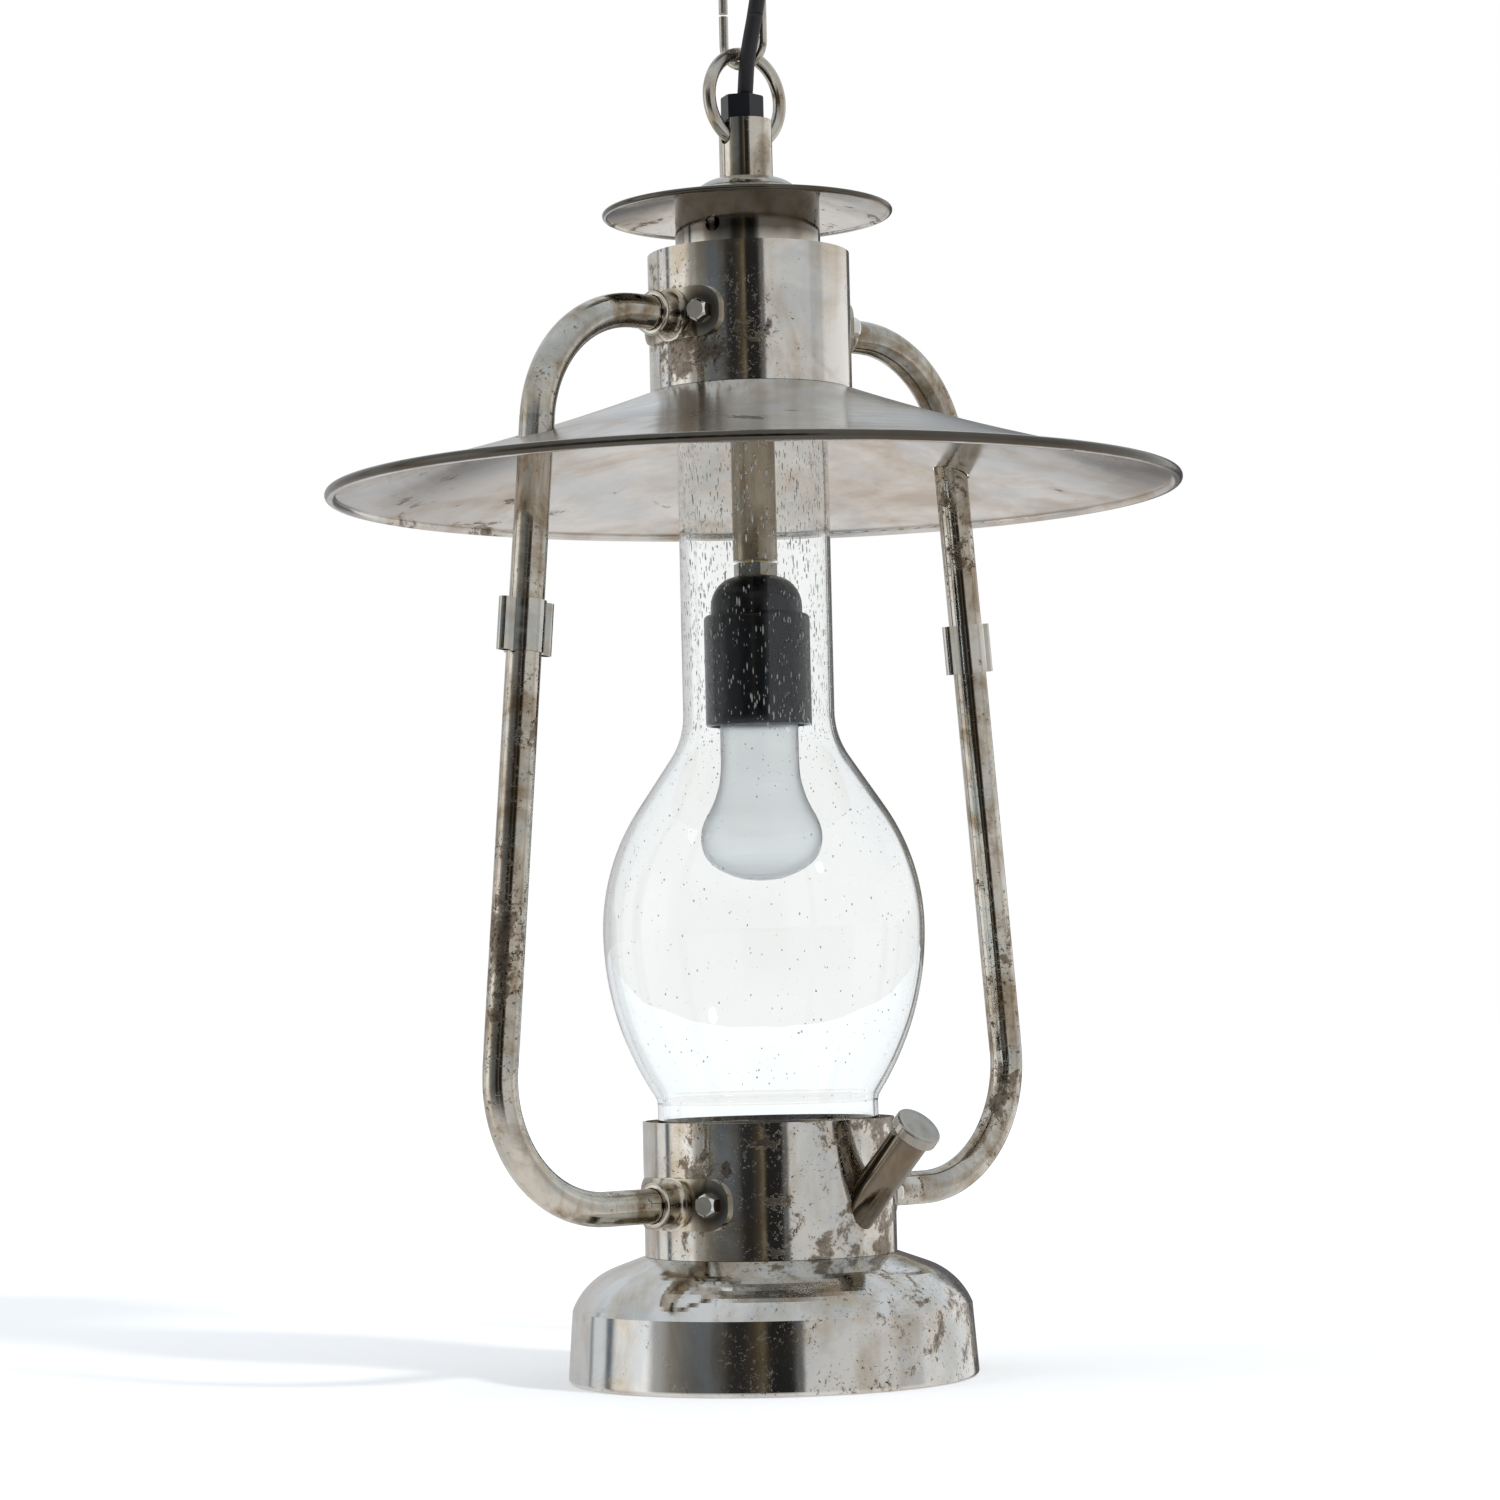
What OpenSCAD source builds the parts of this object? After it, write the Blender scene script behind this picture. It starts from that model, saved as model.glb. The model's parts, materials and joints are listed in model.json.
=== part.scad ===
// Lantern-style pendant lamp: a chain-hung frame of two bent side tubes that
// carries a wide shade, a blown glass chimney, a lamp holder and an oil font.
// Millimetres. The origin is on the ceiling, +Z is up and the lamp hangs below.

/* [Font and foot] */
// Diameter of the font at its foot
font_d = 161.2; // [155:0.2:170]
// Diameter of the font at the crease under its shoulder
crease_d = 157.2; // [150:0.2:160]
// Height of the font's side wall
font_wall_h = 28; // [20:1:40]
// Radius of the rounded shoulder
shoulder_r = 28; // [20:1:32]
// Slope of the shoulder where it meets the crease
shoulder_steep = 68; // [60:1:75]
// Slope of the shoulder where it meets the collar
shoulder_flat = 20; // [12:1:26]
// Sheet thickness of the font
font_t = 1.0; // [0.8:0.1:1.6]
// Rounding of the font's foot edge
foot_round = 1.6; // [1:0.1:2.5]

/* [Collars] */
// Outer diameter of the lower collar
low_collar_d = 99.2; // [92:0.2:106]
// Height of the lower collar
low_collar_h = 52.7; // [46:0.1:64]
// Outer diameter of the upper collar
up_collar_d = 80.4; // [78:0.2:86]
// Height of the upper collar
up_collar_h = 55; // [48:1:64]
// Sheet thickness of both collars
collar_t = 1.2; // [1:0.1:1.6]
// Height of the lower arms above the lower collar's foot
low_arm_rise = 21.6; // [16:0.1:26]

/* [Side tubes] */
// Height between the lower and the upper arms
arm_span = 346.5; // [330:0.5:365]
// Outer diameter of the side tubes
tube_d = 13.5; // [12:0.1:14.4]
// Wall of the side tubes
tube_wall = 1.0; // [0.8:0.1:1.4]
// Centreline radius of the tube bends
bend_r = 50; // [40:1:56]
// Reach of the upper arm, from the axis to the corner of its bend
up_reach = 106.2; // [98:0.1:116]
// Reach of the lower arm, from the axis to the corner of its bend
low_reach = 140.2; // [132:0.1:150]
// Height of the tube joint above the lower arms
joint_rise = 221; // [200:1:240]
// Length of the inner joint spigot
spigot_l = 34; // [26:1:44]

/* [Sleeve clips] */
// Length of a sleeve clip
sleeve_l = 20; // [16:0.5:26]
// Width of a sleeve clip across its ears
sleeve_w = 25.4; // [24:0.2:30]
// Thickness of the folded ears
ear_t = 5.2; // [4.4:0.1:6.4]
// Sheet thickness of the clips
clip_t = 0.8; // [0.6:0.1:1]

/* [Saddle flanges] */
// Thickness of a saddle plate
plate_t = 2.4; // [1.5:0.1:2.6]
// Height of a saddle plate
plate_h = 20; // [19.4:0.2:24]
// Angle between an arm and each of its bolts
bolt_angle = 20.5; // [20:0.5:24]
// Distance from a bolt to the end of its plate
plate_end = 8; // [7:0.5:11]
// Corner radius of the saddle plates
plate_corner = 8; // [5:0.5:9.5]
// Outer diameter of the tube socket
socket_d = 18; // [17:0.2:18.6]
// Length of the tube socket from the collar's face
socket_l = 12; // [7:0.5:14]
// Diameter of the clamp bolts' thread
bolt_d = 5; // [4:0.5:6]
// Width across flats of bolt heads and nuts
hex_af = 8; // [7:0.5:9]
// Height of a bolt head
head_h = 4.2; // [3:0.1:4.4]
// Height of a nut
nut_h = 3.8; // [3:0.1:4.4]

/* [Glass chimney] */
// Outer diameter of the chimney's neck
neck_d = 60; // [54:0.5:66]
// Outer diameter of the chimney's bulge
bulge_d = 127; // [118:0.5:132]
// Room between the chimney's foot and the lower collar's wall
foot_room = 4.9; // [4.4:0.1:8.4]
// Height of the bulge's widest ring above the lower collar's rim
bulge_rise = 74.5; // [68:0.5:84]
// Radius of the bulge's upper curve
bulge_up_r = 86; // [78:1:92]
// Radius of the bulge's lower curve
bulge_low_r = 120; // [112:1:136]
// Slope of the chimney's shoulder from the upright
chimney_slope = 34; // [30:1:38]
// Radius of the hollow curve under the neck
neck_fillet_r = 32; // [24:1:40]
// Thickness of the glass
glass_t = 2.2; // [1.8:0.1:3]
// Depth of the chimney's foot inside the lower collar
seat_depth = 6; // [4:0.5:12]
// Length of the neck inside the upper collar
neck_inside = 13; // [11.5:0.5:16]

/* [Shade] */
// Overall diameter of the shade
shade_d = 340; // [320:1:360]
// Drop of the shade's rim below its neck
shade_drop = 38.6; // [30:0.2:50]
// Hollow of the shade's profile below a straight line
shade_hollow = 2.2; // [1:0.1:4]
// Sheet thickness of the shade
shade_t = 1.0; // [0.8:0.1:1.4]
// Diameter of the rolled rim
shade_bead_d = 4.4; // [3:0.2:6]
// Height of the shade's neck inside the upper collar
shade_neck_h = 8; // [5:0.5:12]
// Play around each side tube in the shade
shade_hole_play = 1.6; // [1:0.1:3]

/* [Vent and cap] */
// Outer diameter of the vent tube
vent_d = 57.8; // [52:0.2:62]
// Gap between the upper collar and the cap's rim
vent_gap = 17.4; // [12:0.2:24]
// Length of the vent tube inside the collar
vent_inside = 8; // [6:0.5:14]
// Diameter of the vent holes
vent_hole_d = 6.4; // [4:0.2:8]
// Outer diameter of the cap
cap_d = 115.8; // [104:0.2:128]
// Rise of the cap from its rim to its flat top
cap_rise = 8.8; // [7:0.2:18]
// Diameter of the cap's flat top
cap_flat_d = 40; // [38:0.5:44]
// Diameter of the cap's rolled rim
cap_bead_d = 2.4; // [2:0.1:3.4]

/* [Stem, ring and gland] */
// Outer diameter of the stem
stem_d = 21.2; // [20.6:0.1:23]
// Wall of the stem
stem_wall = 1.3; // [1.1:0.1:1.5]
// Height of the stem above the cap
stem_h = 28; // [26:0.1:34]
// Diameter of the domed flange
flange_d = 40.4; // [36:0.2:46]
// Height of the domed flange
flange_h = 4.2; // [3.4:0.1:6]
// Centreline diameter of the hanging ring
ring_d = 36.4; // [34:0.2:38]
// Wire of the hanging ring
ring_wire = 5.2; // [4.6:0.1:5.4]
// Height of the ring's centre above the stem
ring_lift = 8.8; // [8.5:0.1:10]
// Width across flats of the cable gland
gland_af = 15; // [13:0.5:16]
// Height of the cable gland above the stem
gland_h = 10; // [7:0.5:11]

/* [Chain] */
// Wire of the chain links
link_wire = 3.6; // [3:0.1:4]
// Outer length of a link
link_l = 47; // [42:0.5:56]
// Outer width of a link
link_w = 22; // [21:0.5:26]
// Width of the open joint in a link's leg
link_gap = 1.2; // [0.6:0.1:2]

/* [Holder and bulb] */
// Outer diameter of the lamp tube
lamp_tube_d = 17.6; // [16.6:0.1:17.8]
// Wall of the lamp tube
lamp_tube_wall = 1.4; // [1:0.1:1.8]
// Length of the lamp tube below the cap's flat top
lamp_tube_drop = 148.5; // [140:0.5:175]
// Outer diameter of the holder's skirt
skirt_d = 42; // [40:0.5:45]
// Height of the holder's skirt
skirt_h = 44.4; // [42:0.2:50]
// Height of the holder's domed cap
dome_h = 15.2; // [12:0.2:20]
// Diameter of the bulb's face
bulb_d = 48; // [44:0.5:52]
// Diameter of the bulb's neck
bulb_neck_d = 31; // [29:0.5:34]
// Length of the bulb below the holder
bulb_l = 61; // [54:0.5:72]
// Diameter of the bulb's screw cap
screw_d = 26; // [26:0.1:26.2]

/* [Filler spout] */
// Direction of the filler spout, from the side tubes' plane
spout_turn = -84.5; // [-100:0.5:-70]
// Slope of the filler spout
spout_slope = 46; // [40:1:55]
// Outer diameter of the filler spout
spout_d = 15.3; // [13:0.1:16]
// Length of the spout's axis outside the collar, with its cap
spout_l = 40.5; // [34:0.1:46]
// Wall of the spout
spout_wall = 1.0; // [0.8:0.1:1.4]
// Outer diameter of the filler cap
filler_d = 19; // [18.6:0.1:21]
// Height of the filler cap
filler_h = 5.2; // [3:0.1:6]

/* [Ceiling fitting] */
// Diameter of the canopy
canopy_d = 110; // [100:1:130]
// Depth of the canopy
canopy_h = 30; // [27:1:40]
// Sheet thickness of the canopy
canopy_t = 1.0; // [0.8:0.1:1.5]
// Centreline diameter of the canopy loop
loop_d = 18; // [16:0.5:24]
// Wire of the canopy loop
loop_wire = 5; // [4:0.1:6]
// Height of the loop's boss below the canopy
boss_h = 8; // [6:0.5:12]
// Distance between the mounting bar's two screw holes
bar_pitch = 70; // [60:1:80]
// Diameter of the mounting bar's screw holes
bar_hole_d = 5; // [4:0.5:6]
// Thickness of the mounting bar
bar_t = 2.5; // [2:0.1:4]
// Distance from the chain to the cable's ceiling gland
gland_reach = 24; // [22:0.5:30]

/* [Cable] */
// Outer diameter of the supply cable
cable_d = 6.3; // [6:0.1:6.5]

/* [Hidden] */
$fn = 72;

// Clearances between pieces that seat in or on each other
seat_gap = 0.1;
slip_gap = 0.3;
link_play = 0.2;

// Angles of the ring and the links about the chain
ring_turn = -2.5;
link_1_turn = -75.5;
link_2_turn = 14.5;
vent_turns = [-161, -41, 79];

// Heights on the ceiling side
bar_hold = canopy_h - canopy_t;
loop_sink = 1.5;
block_x = 16;
block_hole_z = 6;
loop_z = -canopy_h - boss_h - loop_d / 2 - loop_wire / 2 + loop_sink;
link_half = (link_l - link_wire) / 2;
link_2_z = loop_z - loop_d / 2 + (loop_wire + link_wire) / 2 + link_play - link_half;
link_1_z = link_2_z - 2 * link_half + link_wire + link_play;
ring_z = link_1_z - link_half + (link_wire + ring_wire) / 2 + link_play - ring_d / 2;

// Heights on the lamp, above its foot
shoulder_in = shoulder_r * (sin(shoulder_steep) - sin(shoulder_flat));
shoulder_up = shoulder_r * (cos(shoulder_flat) - cos(shoulder_steep));
cone_foot_r = crease_d / 2 - shoulder_in;
font_top_z = font_wall_h + shoulder_up + (cone_foot_r - low_collar_d / 2) * tan(shoulder_flat);
low_arm_z = font_top_z + low_arm_rise;
low_rim_z = font_top_z + low_collar_h;
up_arm_z = low_arm_z + arm_span;
up_foot_z = up_arm_z - up_collar_h / 2;
up_rim_z = up_foot_z + up_collar_h;
cap_rim_z = up_rim_z + vent_gap;
cap_top_z = cap_rim_z + cap_rise;
stem_top_z = cap_top_z + stem_h;
ring_centre_z = stem_top_z + ring_lift;
foot_z = ring_z - ring_centre_z;
tube_end_z = cap_top_z - lamp_tube_drop;

// Gap between the lamp tube and the holder's dome, filled by the lock nut
nut_space = 6.2;
holder_nut_h = 5;
dome_top_z = tube_end_z - nut_space;
skirt_top_z = dome_top_z - dome_h;
skirt_end_z = skirt_top_z - skirt_h;
holder_t = 1.8;

// Side tube directions
tube_lean = atan((low_reach - up_reach) / arm_span);
up_tangent = bend_r * tan((90 - tube_lean) / 2);
low_tangent = bend_r * tan((90 + tube_lean) / 2);
bend_thin = 0.1;
bend_over = 0.6;
joint_z = low_arm_z + joint_rise;
joint_x = low_reach - joint_rise * tan(tube_lean);

// Radii that several pieces share
up_in_r = up_collar_d / 2 - collar_t;
low_in_r = low_collar_d / 2 - collar_t;
stem_in_r = stem_d / 2 - stem_wall;
vent_wall = 1.0;
cap_t = 1.0;
hex_r = hex_af / sqrt(3);
nipple_d = 10;
nipple_bore = 7;
thread_gap = 0.1;
gland_shift = 1.5;
cap_slope = atan(cap_rise / ((cap_d - cap_flat_d - cap_bead_d) / 2));

// Route of the supply cable: height above the lamp's foot, from gland to gland
cable_points = [
    [0.7, 2.4, 500.5], [0.3, 1, 504.5], [-0.3, -0.6, 508.5], [-1.4, -2.4, 512.5],
    [-2.8, -4.4, 516.5], [-3.9, -6.3, 520.5], [-4.6, -8.2, 525], [-4.8, -9.9, 530],
    [-4.7, -12, 537], [-4.5, -14.4, 547], [-4.1, -17.4, 562], [-2.7, -20.5, 580],
    [-0.8, -23, 596], [0, -24, 608.5], [0, -24, 616.5], [0, -24, 624]
];
// Slanted bore of the lower gland, along the cable's first stretch
gland_bore_start = [0.2, 2.9, 499.4];
gland_bore_tilt = 21;

nickel = "#8d877c";
pale_nickel = "#b4afa6";
black_plastic = "#1c1c20";
brass = "#a98a4a";

// Points along an arc, from one angle to another
function arc(centre, r, from, to, steps) = [
    for (i = [0:steps])
        let (a = from + (to - from) * i / steps)
            centre + r * [cos(a), sin(a)]
];

function reversed(list) = [for (i = [len(list) - 1:-1:0]) list[i]];

// Point on a smooth curve through four points, between the middle two
function spline(a, b, c, d, t) =
    ((2 * b) + (c - a) * t + (2 * a - 5 * b + 4 * c - d) * t * t
    + (3 * b - a - 3 * c + d) * t * t * t) / 2;

function smooth_path(pts, steps) = [
    for (i = [0:len(pts) - 2])
        for (k = [0:steps - 1])
            spline(
                pts[max(i - 1, 0)], pts[i], pts[i + 1],
                pts[min(i + 2, len(pts) - 1)], k / steps
            ),
    pts[len(pts) - 1]
];

module at_lamp() {
    translate([0, 0, foot_z]) children();
}

// Everything on the left side is the right side mirrored
module left_side() {
    mirror([1, 0, 0]) children();
}

module pipe(od, id, h) {
    difference() {
        cylinder(d = od, h = h);
        translate([0, 0, -1]) cylinder(d = id, h = h + 2);
    }
}

module rod(from, to, d) {
    way = to - from;
    h = norm(way);
    translate(from) rotate([0, acos(way[2] / h), atan2(way[1], way[0])]) cylinder(d = d, h = h);
}

module hexagon(af, h) {
    cylinder(d = af * 2 / sqrt(3), h = h, $fn = 6);
}

// A round wire bent into part of a ring in the XZ plane, from the +X side upward
module wire_arc(r, wire, angle) {
    rotate([90, 0, 0]) rotate_extrude(angle = angle) translate([r, 0]) circle(d = wire, $fn = 24);
}

// Solid tube swept along a route, with its rings square to it
module swept(path, d, sides, ref = [0, 1, 0]) {
    last = len(path) - 1;
    rings = [
        for (i = [0:last])
            let (
                way = path[min(i + 1, last)] - path[max(i - 1, 0)],
                along = way / norm(way),
                side = cross(ref, along) / norm(cross(ref, along)),
                over = cross(along, side)
            )
                for (k = [0:sides - 1])
                    let (a = 360 * k / sides)
                        path[i] + d / 2 * (side * cos(a) + over * sin(a))
    ];
    skin = [
        for (i = [0:last - 1])
            for (k = [0:sides - 1])
                let (n = (k + 1) % sides)
                    [i * sides + k, (i + 1) * sides + k, (i + 1) * sides + n, i * sides + n]
    ];
    ends = [
        [for (k = [0:sides - 1]) k],
        [for (k = [sides - 1:-1:0]) last * sides + k]
    ];
    polyhedron(rings, concat(skin, ends));
}

// Ceiling fitting

module mounting_bar() {
    bar_l = bar_pitch + 18;
    bar_w = 20;
    color("silver")
    translate([0, 0, -bar_t])
    difference() {
        linear_extrude(bar_t) union() {
            square([bar_l - bar_w, bar_w], center = true);
            for (s = [-1, 1]) translate([s * (bar_l - bar_w) / 2, 0]) circle(d = bar_w);
        }
        translate([0, 0, -1]) cylinder(d = nipple_d + thread_gap, h = bar_t + 2);
        for (s = [-1, 1])
            translate([s * bar_pitch / 2, 0, -1]) cylinder(d = bar_hole_d, h = bar_t + 2);
    }
}

module canopy() {
    edge_r = 10;
    r = canopy_d / 2;
    outer = concat(
        [[0, -canopy_h]],
        arc([r - edge_r, edge_r - canopy_h], edge_r, -90, -8, 8),
        [[r, -slip_gap]]
    );
    inner = concat(
        [[r - canopy_t, -slip_gap]],
        reversed(arc([r - edge_r, edge_r - canopy_h], edge_r - canopy_t, -90, -8, 8)),
        [[0, canopy_t - canopy_h]]
    );
    color(nickel)
    difference() {
        rotate_extrude() polygon(concat(outer, inner));
        translate([0, 0, -canopy_h - 1]) cylinder(d = nipple_d + thread_gap, h = canopy_t + 2);
        translate([0, -gland_reach, -canopy_h - 1]) cylinder(d = 12 + thread_gap, h = canopy_t + 2);
    }
}

module canopy_nipple() {
    color(brass)
    translate([0, 0, -canopy_h - boss_h + 2])
    pipe(nipple_d, nipple_bore, canopy_h + boss_h - 2 - slip_gap);
}

module canopy_nuts() {
    color(brass)
    for (z = [seat_gap - bar_hold, -bar_t - seat_gap - 4])
        translate([0, 0, z])
        difference() {
            hexagon(14, 4);
            translate([0, 0, -1]) cylinder(d = nipple_d + thread_gap, h = 6);
        }
}

module canopy_loop() {
    color(nickel)
    difference() {
        union() {
            translate([0, 0, loop_z]) rotate([0, 0, link_1_turn]) wire_arc(loop_d / 2, loop_wire, 360);
            translate([0, 0, -canopy_h - boss_h]) cylinder(d1 = 11, d2 = 17, h = boss_h - 2);
            translate([0, 0, -canopy_h - 2]) cylinder(d = 17, h = 2 - seat_gap);
        }
        translate([0, 0, -canopy_h - boss_h + 2 - seat_gap])
            cylinder(d = nipple_d + thread_gap, h = boss_h);
    }
}

module canopy_gland() {
    color(black_plastic)
    translate([0, -gland_reach, -canopy_h])
    difference() {
        union() {
            translate([0, 0, -3.1]) hexagon(15, 3);
            translate([0, 0, -12]) intersection() {
                hexagon(14, 9);
                cylinder(d1 = 12, d2 = 24, h = 9);
            }
            translate([0, 0, -4]) cylinder(d = 12, h = canopy_t + 7);
            translate([0, 0, canopy_t + seat_gap]) hexagon(15, 3);
        }
        translate([0, 0, -13]) cylinder(d = cable_d + 2 * slip_gap, h = 20);
    }
}

module terminal_block() {
    size = [15, 30, 14];
    color("ivory")
    translate([block_x, -size[1] / 2, canopy_t - canopy_h + seat_gap])
    difference() {
        union() {
            cube(size);
            translate([-3, 5, 0]) cube([size[0] + 6, 20, 3]);
        }
        for (i = [0:2]) {
            translate([-4, 5 + 10 * i, block_hole_z]) rotate([0, 90, 0]) cylinder(d = 4, h = 23);
            for (x = [4, 11]) translate([x, 5 + 10 * i, 8]) cylinder(d = 3.2, h = 7);
        }
    }
}

module canopy_leads() {
    shades = ["saddlebrown", "royalblue", "yellowgreen"];
    for (i = [0:2])
        let (
            x = 2.2 * (1 - i),
            y = 10 * (i - 1),
            floor_z = canopy_t - canopy_h,
            hole_z = floor_z + seat_gap + block_hole_z,
            over_z = hole_z + 1 + 2.4 * i
        )
            color(shades[i]) swept(smooth_path([
                [x, -gland_reach, floor_z + 4], [x, -gland_reach, over_z - 1.5],
                [5, -18 + 1.5 * i, over_z], [block_x - 7, y - 6, over_z],
                [block_x - 3, y - 1, hole_z + 0.6 * i], [block_x, y, hole_z],
                [block_x + 3, y, hole_z]
            ], 4), 1.9, 8, [1, -1, 0]);
}

module supply_cable() {
    color(black_plastic) at_lamp() swept(smooth_path(cable_points, 3), cable_d, 10);
}

// Chain and hanging ring

module chain_link(z, turn, open_side) {
    r = (link_w - link_wire) / 2;
    leg = link_half - r;
    color(pale_nickel)
    translate([0, 0, z])
    rotate([0, 0, turn])
    difference() {
        union() {
            translate([0, 0, leg]) wire_arc(r, link_wire, 180);
            mirror([0, 0, 1]) translate([0, 0, leg]) wire_arc(r, link_wire, 180);
            for (s = [-1, 1])
                translate([s * r, 0, -leg]) cylinder(d = link_wire, h = 2 * leg, $fn = 24);
        }
        translate([open_side * r - link_wire, -link_wire, -link_gap / 2])
            cube([2 * link_wire, 2 * link_wire, link_gap]);
    }
}

module chain_link_1() {
    chain_link(link_1_z, link_1_turn, -1);
}

module chain_link_2() {
    chain_link(link_2_z, link_2_turn, 1);
}

module hanging_ring() {
    color(pale_nickel) translate([0, 0, ring_z]) rotate([0, 0, ring_turn])
        wire_arc(ring_d / 2, ring_wire, 360);
}

// Stem, cap and vent

module cable_gland() {
    spigot_d = 2 * (stem_in_r - gland_shift - slip_gap);
    ring_top = ring_centre_z - sqrt(pow(ring_d / 2, 2) - pow(spigot_d / 2, 2)) + ring_wire / 2;
    spigot_z = ring_top + 2 * slip_gap;
    color(black_plastic)
    at_lamp()
    difference() {
        translate([0, gland_shift, 0]) union() {
            translate([0, 0, stem_top_z + seat_gap]) intersection() {
                rotate([0, 0, 7.5]) hexagon(gland_af, gland_h);
                cylinder(d1 = gland_af * 1.155 + 2 * gland_h, d2 = gland_af * 1.1, h = gland_h);
            }
            translate([0, 0, spigot_z]) cylinder(d = spigot_d, h = stem_top_z - spigot_z + 1);
        }
        translate(gland_bore_start) rotate([gland_bore_tilt, 0, 0])
            cylinder(d = cable_d + 5 * slip_gap, h = gland_h + 6);
    }
}

module stem_tube() {
    slot = ring_wire + 2 * link_play;
    wall_r = stem_d / 2 - stem_wall / 2;
    slot_z = ring_centre_z - sqrt(pow(ring_d / 2, 2) - pow(wall_r, 2)) - 1;
    color(nickel)
    at_lamp()
    difference() {
        translate([0, 0, cap_top_z + seat_gap])
            pipe(stem_d, 2 * stem_in_r, stem_h - seat_gap);
        rotate([0, 0, ring_turn]) {
            translate([-stem_d, 0, slot_z]) rotate([0, 90, 0]) cylinder(d = slot, h = 2 * stem_d);
            translate([-stem_d, -slot / 2, slot_z]) cube([2 * stem_d, slot, stem_h]);
        }
    }
}

module stem_flange() {
    r = flange_d / 2;
    inner_r = stem_d / 2 + seat_gap / 2;
    span = r - inner_r;
    dome_r = (span * span + flange_h * flange_h) / (2 * flange_h);
    top = arc([inner_r, flange_h - dome_r], dome_r, 90, 90 - asin(min(span / dome_r, 1)), 8);
    color(pale_nickel)
    at_lamp()
    translate([0, 0, cap_top_z + seat_gap])
    rotate_extrude() polygon(concat([[inner_r, 0]], top));
}

// Flat disc, conical sheet and rolled rim
module top_cap() {
    flat_r = cap_flat_d / 2;
    rim_r = cap_d / 2 - cap_bead_d / 2;
    bore_r = lamp_tube_d / 2 + seat_gap;
    under = cap_t / cos(cap_slope);
    color(nickel)
    at_lamp()
    translate([0, 0, cap_rim_z]) union() {
        rotate_extrude() polygon([
            [bore_r, cap_rise], [flat_r, cap_rise], [rim_r, 0], [rim_r, -under],
            [flat_r - cap_t * tan(cap_slope / 2), cap_rise - cap_t],
            [bore_r, cap_rise - cap_t]
        ]);
        rotate_extrude() translate([rim_r, -under / 2]) circle(d = cap_bead_d);
    }
}

module vent_tube() {
    top_z = cap_top_z - (vent_d - cap_flat_d) / 2 * tan(cap_slope) - cap_t / cos(cap_slope);
    low_z = up_rim_z - vent_inside;
    hole_z = up_rim_z + 9;
    color(nickel)
    at_lamp()
    difference() {
        translate([0, 0, low_z]) pipe(vent_d, vent_d - 2 * vent_wall, top_z - seat_gap - low_z);
        for (turn = vent_turns)
            rotate([0, 0, turn]) translate([vent_d / 2 - 4, 0, hole_z])
                rotate([0, 90, 0]) cylinder(d = vent_hole_d, h = 8);
    }
}

module vent_bridge() {
    r = vent_d / 2 - vent_wall - seat_gap;
    bridge_z = cap_rim_z - cap_t;
    color(nickel)
    at_lamp()
    translate([0, 0, bridge_z])
    difference() {
        cylinder(r = r, h = 2);
        translate([0, 0, -1]) cylinder(d = lamp_tube_d + 2 * seat_gap, h = 4);
        for (a = [15:60:315])
            rotate([0, 0, a]) translate([(r + lamp_tube_d / 2) / 2, 0, -1]) cylinder(d = 7, h = 4);
    }
}

module stem_nut() {
    color(brass)
    at_lamp()
    translate([0, 0, cap_rim_z - cap_t - seat_gap - 5])
    difference() {
        hexagon(lamp_tube_d + 6.4, 5);
        translate([0, 0, -1]) cylinder(d = lamp_tube_d + thread_gap, h = 7);
    }
}

module collar_top_plate() {
    plate_z = up_rim_z - 2.4;
    color(nickel)
    at_lamp()
    translate([0, 0, plate_z])
    pipe(2 * (up_in_r - seat_gap), vent_d + 2 * seat_gap, 1.2);
}

// Cuts for one collar: the arm's air hole and the clamp bolts on both sides
module clamp_cuts(collar_d, z) {
    start = collar_d / 2 - 8;
    for (side = [0, 180], s = [-1:1])
        rotate([0, 0, side + s * bolt_angle]) translate([start, 0, z]) rotate([0, 90, 0])
            cylinder(d = s == 0 ? tube_d - 2 * tube_wall : bolt_d + slip_gap, h = 16);
}

module upper_collar() {
    color(nickel)
    at_lamp()
    difference() {
        translate([0, 0, up_foot_z]) pipe(up_collar_d, 2 * up_in_r, up_collar_h);
        clamp_cuts(up_collar_d, up_arm_z);
    }
}

// Shade

module shade() {
    neck_r = up_in_r - seat_gap;
    edge_r = up_collar_d / 2;
    rim_r = (shade_d - shade_bead_d) / 2;
    start = [edge_r, -seat_gap];
    end = [rim_r, -shade_drop];
    chord = norm(end - start);
    hollow_r = (chord * chord / 4 + shade_hollow * shade_hollow) / (2 * shade_hollow);
    mid = (start + end) / 2;
    out = [end[1] - start[1], start[0] - end[0]] / chord;
    centre = mid - out * (hollow_r - shade_hollow);
    from = atan2(start[1] - centre[1], start[0] - centre[0]);
    to = atan2(end[1] - centre[1], end[0] - centre[0]);
    top = arc(centre, hollow_r, from, to, 14);
    under = arc(centre, hollow_r + shade_t, from, to, 14);
    bead = end + out * shade_t / 2;
    color(pale_nickel)
    at_lamp()
    difference() {
        translate([0, 0, up_foot_z]) union() {
            rotate_extrude() polygon(concat(
                [[neck_r, -seat_gap], [neck_r, shade_neck_h], [neck_r - shade_t, shade_neck_h]],
                [[neck_r - shade_t, -shade_t - seat_gap]], under, reversed(top)
            ));
            rotate_extrude() translate(bead) circle(d = shade_bead_d);
        }
        for (side = [0, 180])
            rotate([0, 0, side]) translate([joint_x, 0, joint_z]) rotate([0, -tube_lean, 0])
                cylinder(d = tube_d + shade_hole_play, h = arm_span);
    }
}

// Lamp tube, holder and bulb

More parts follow.
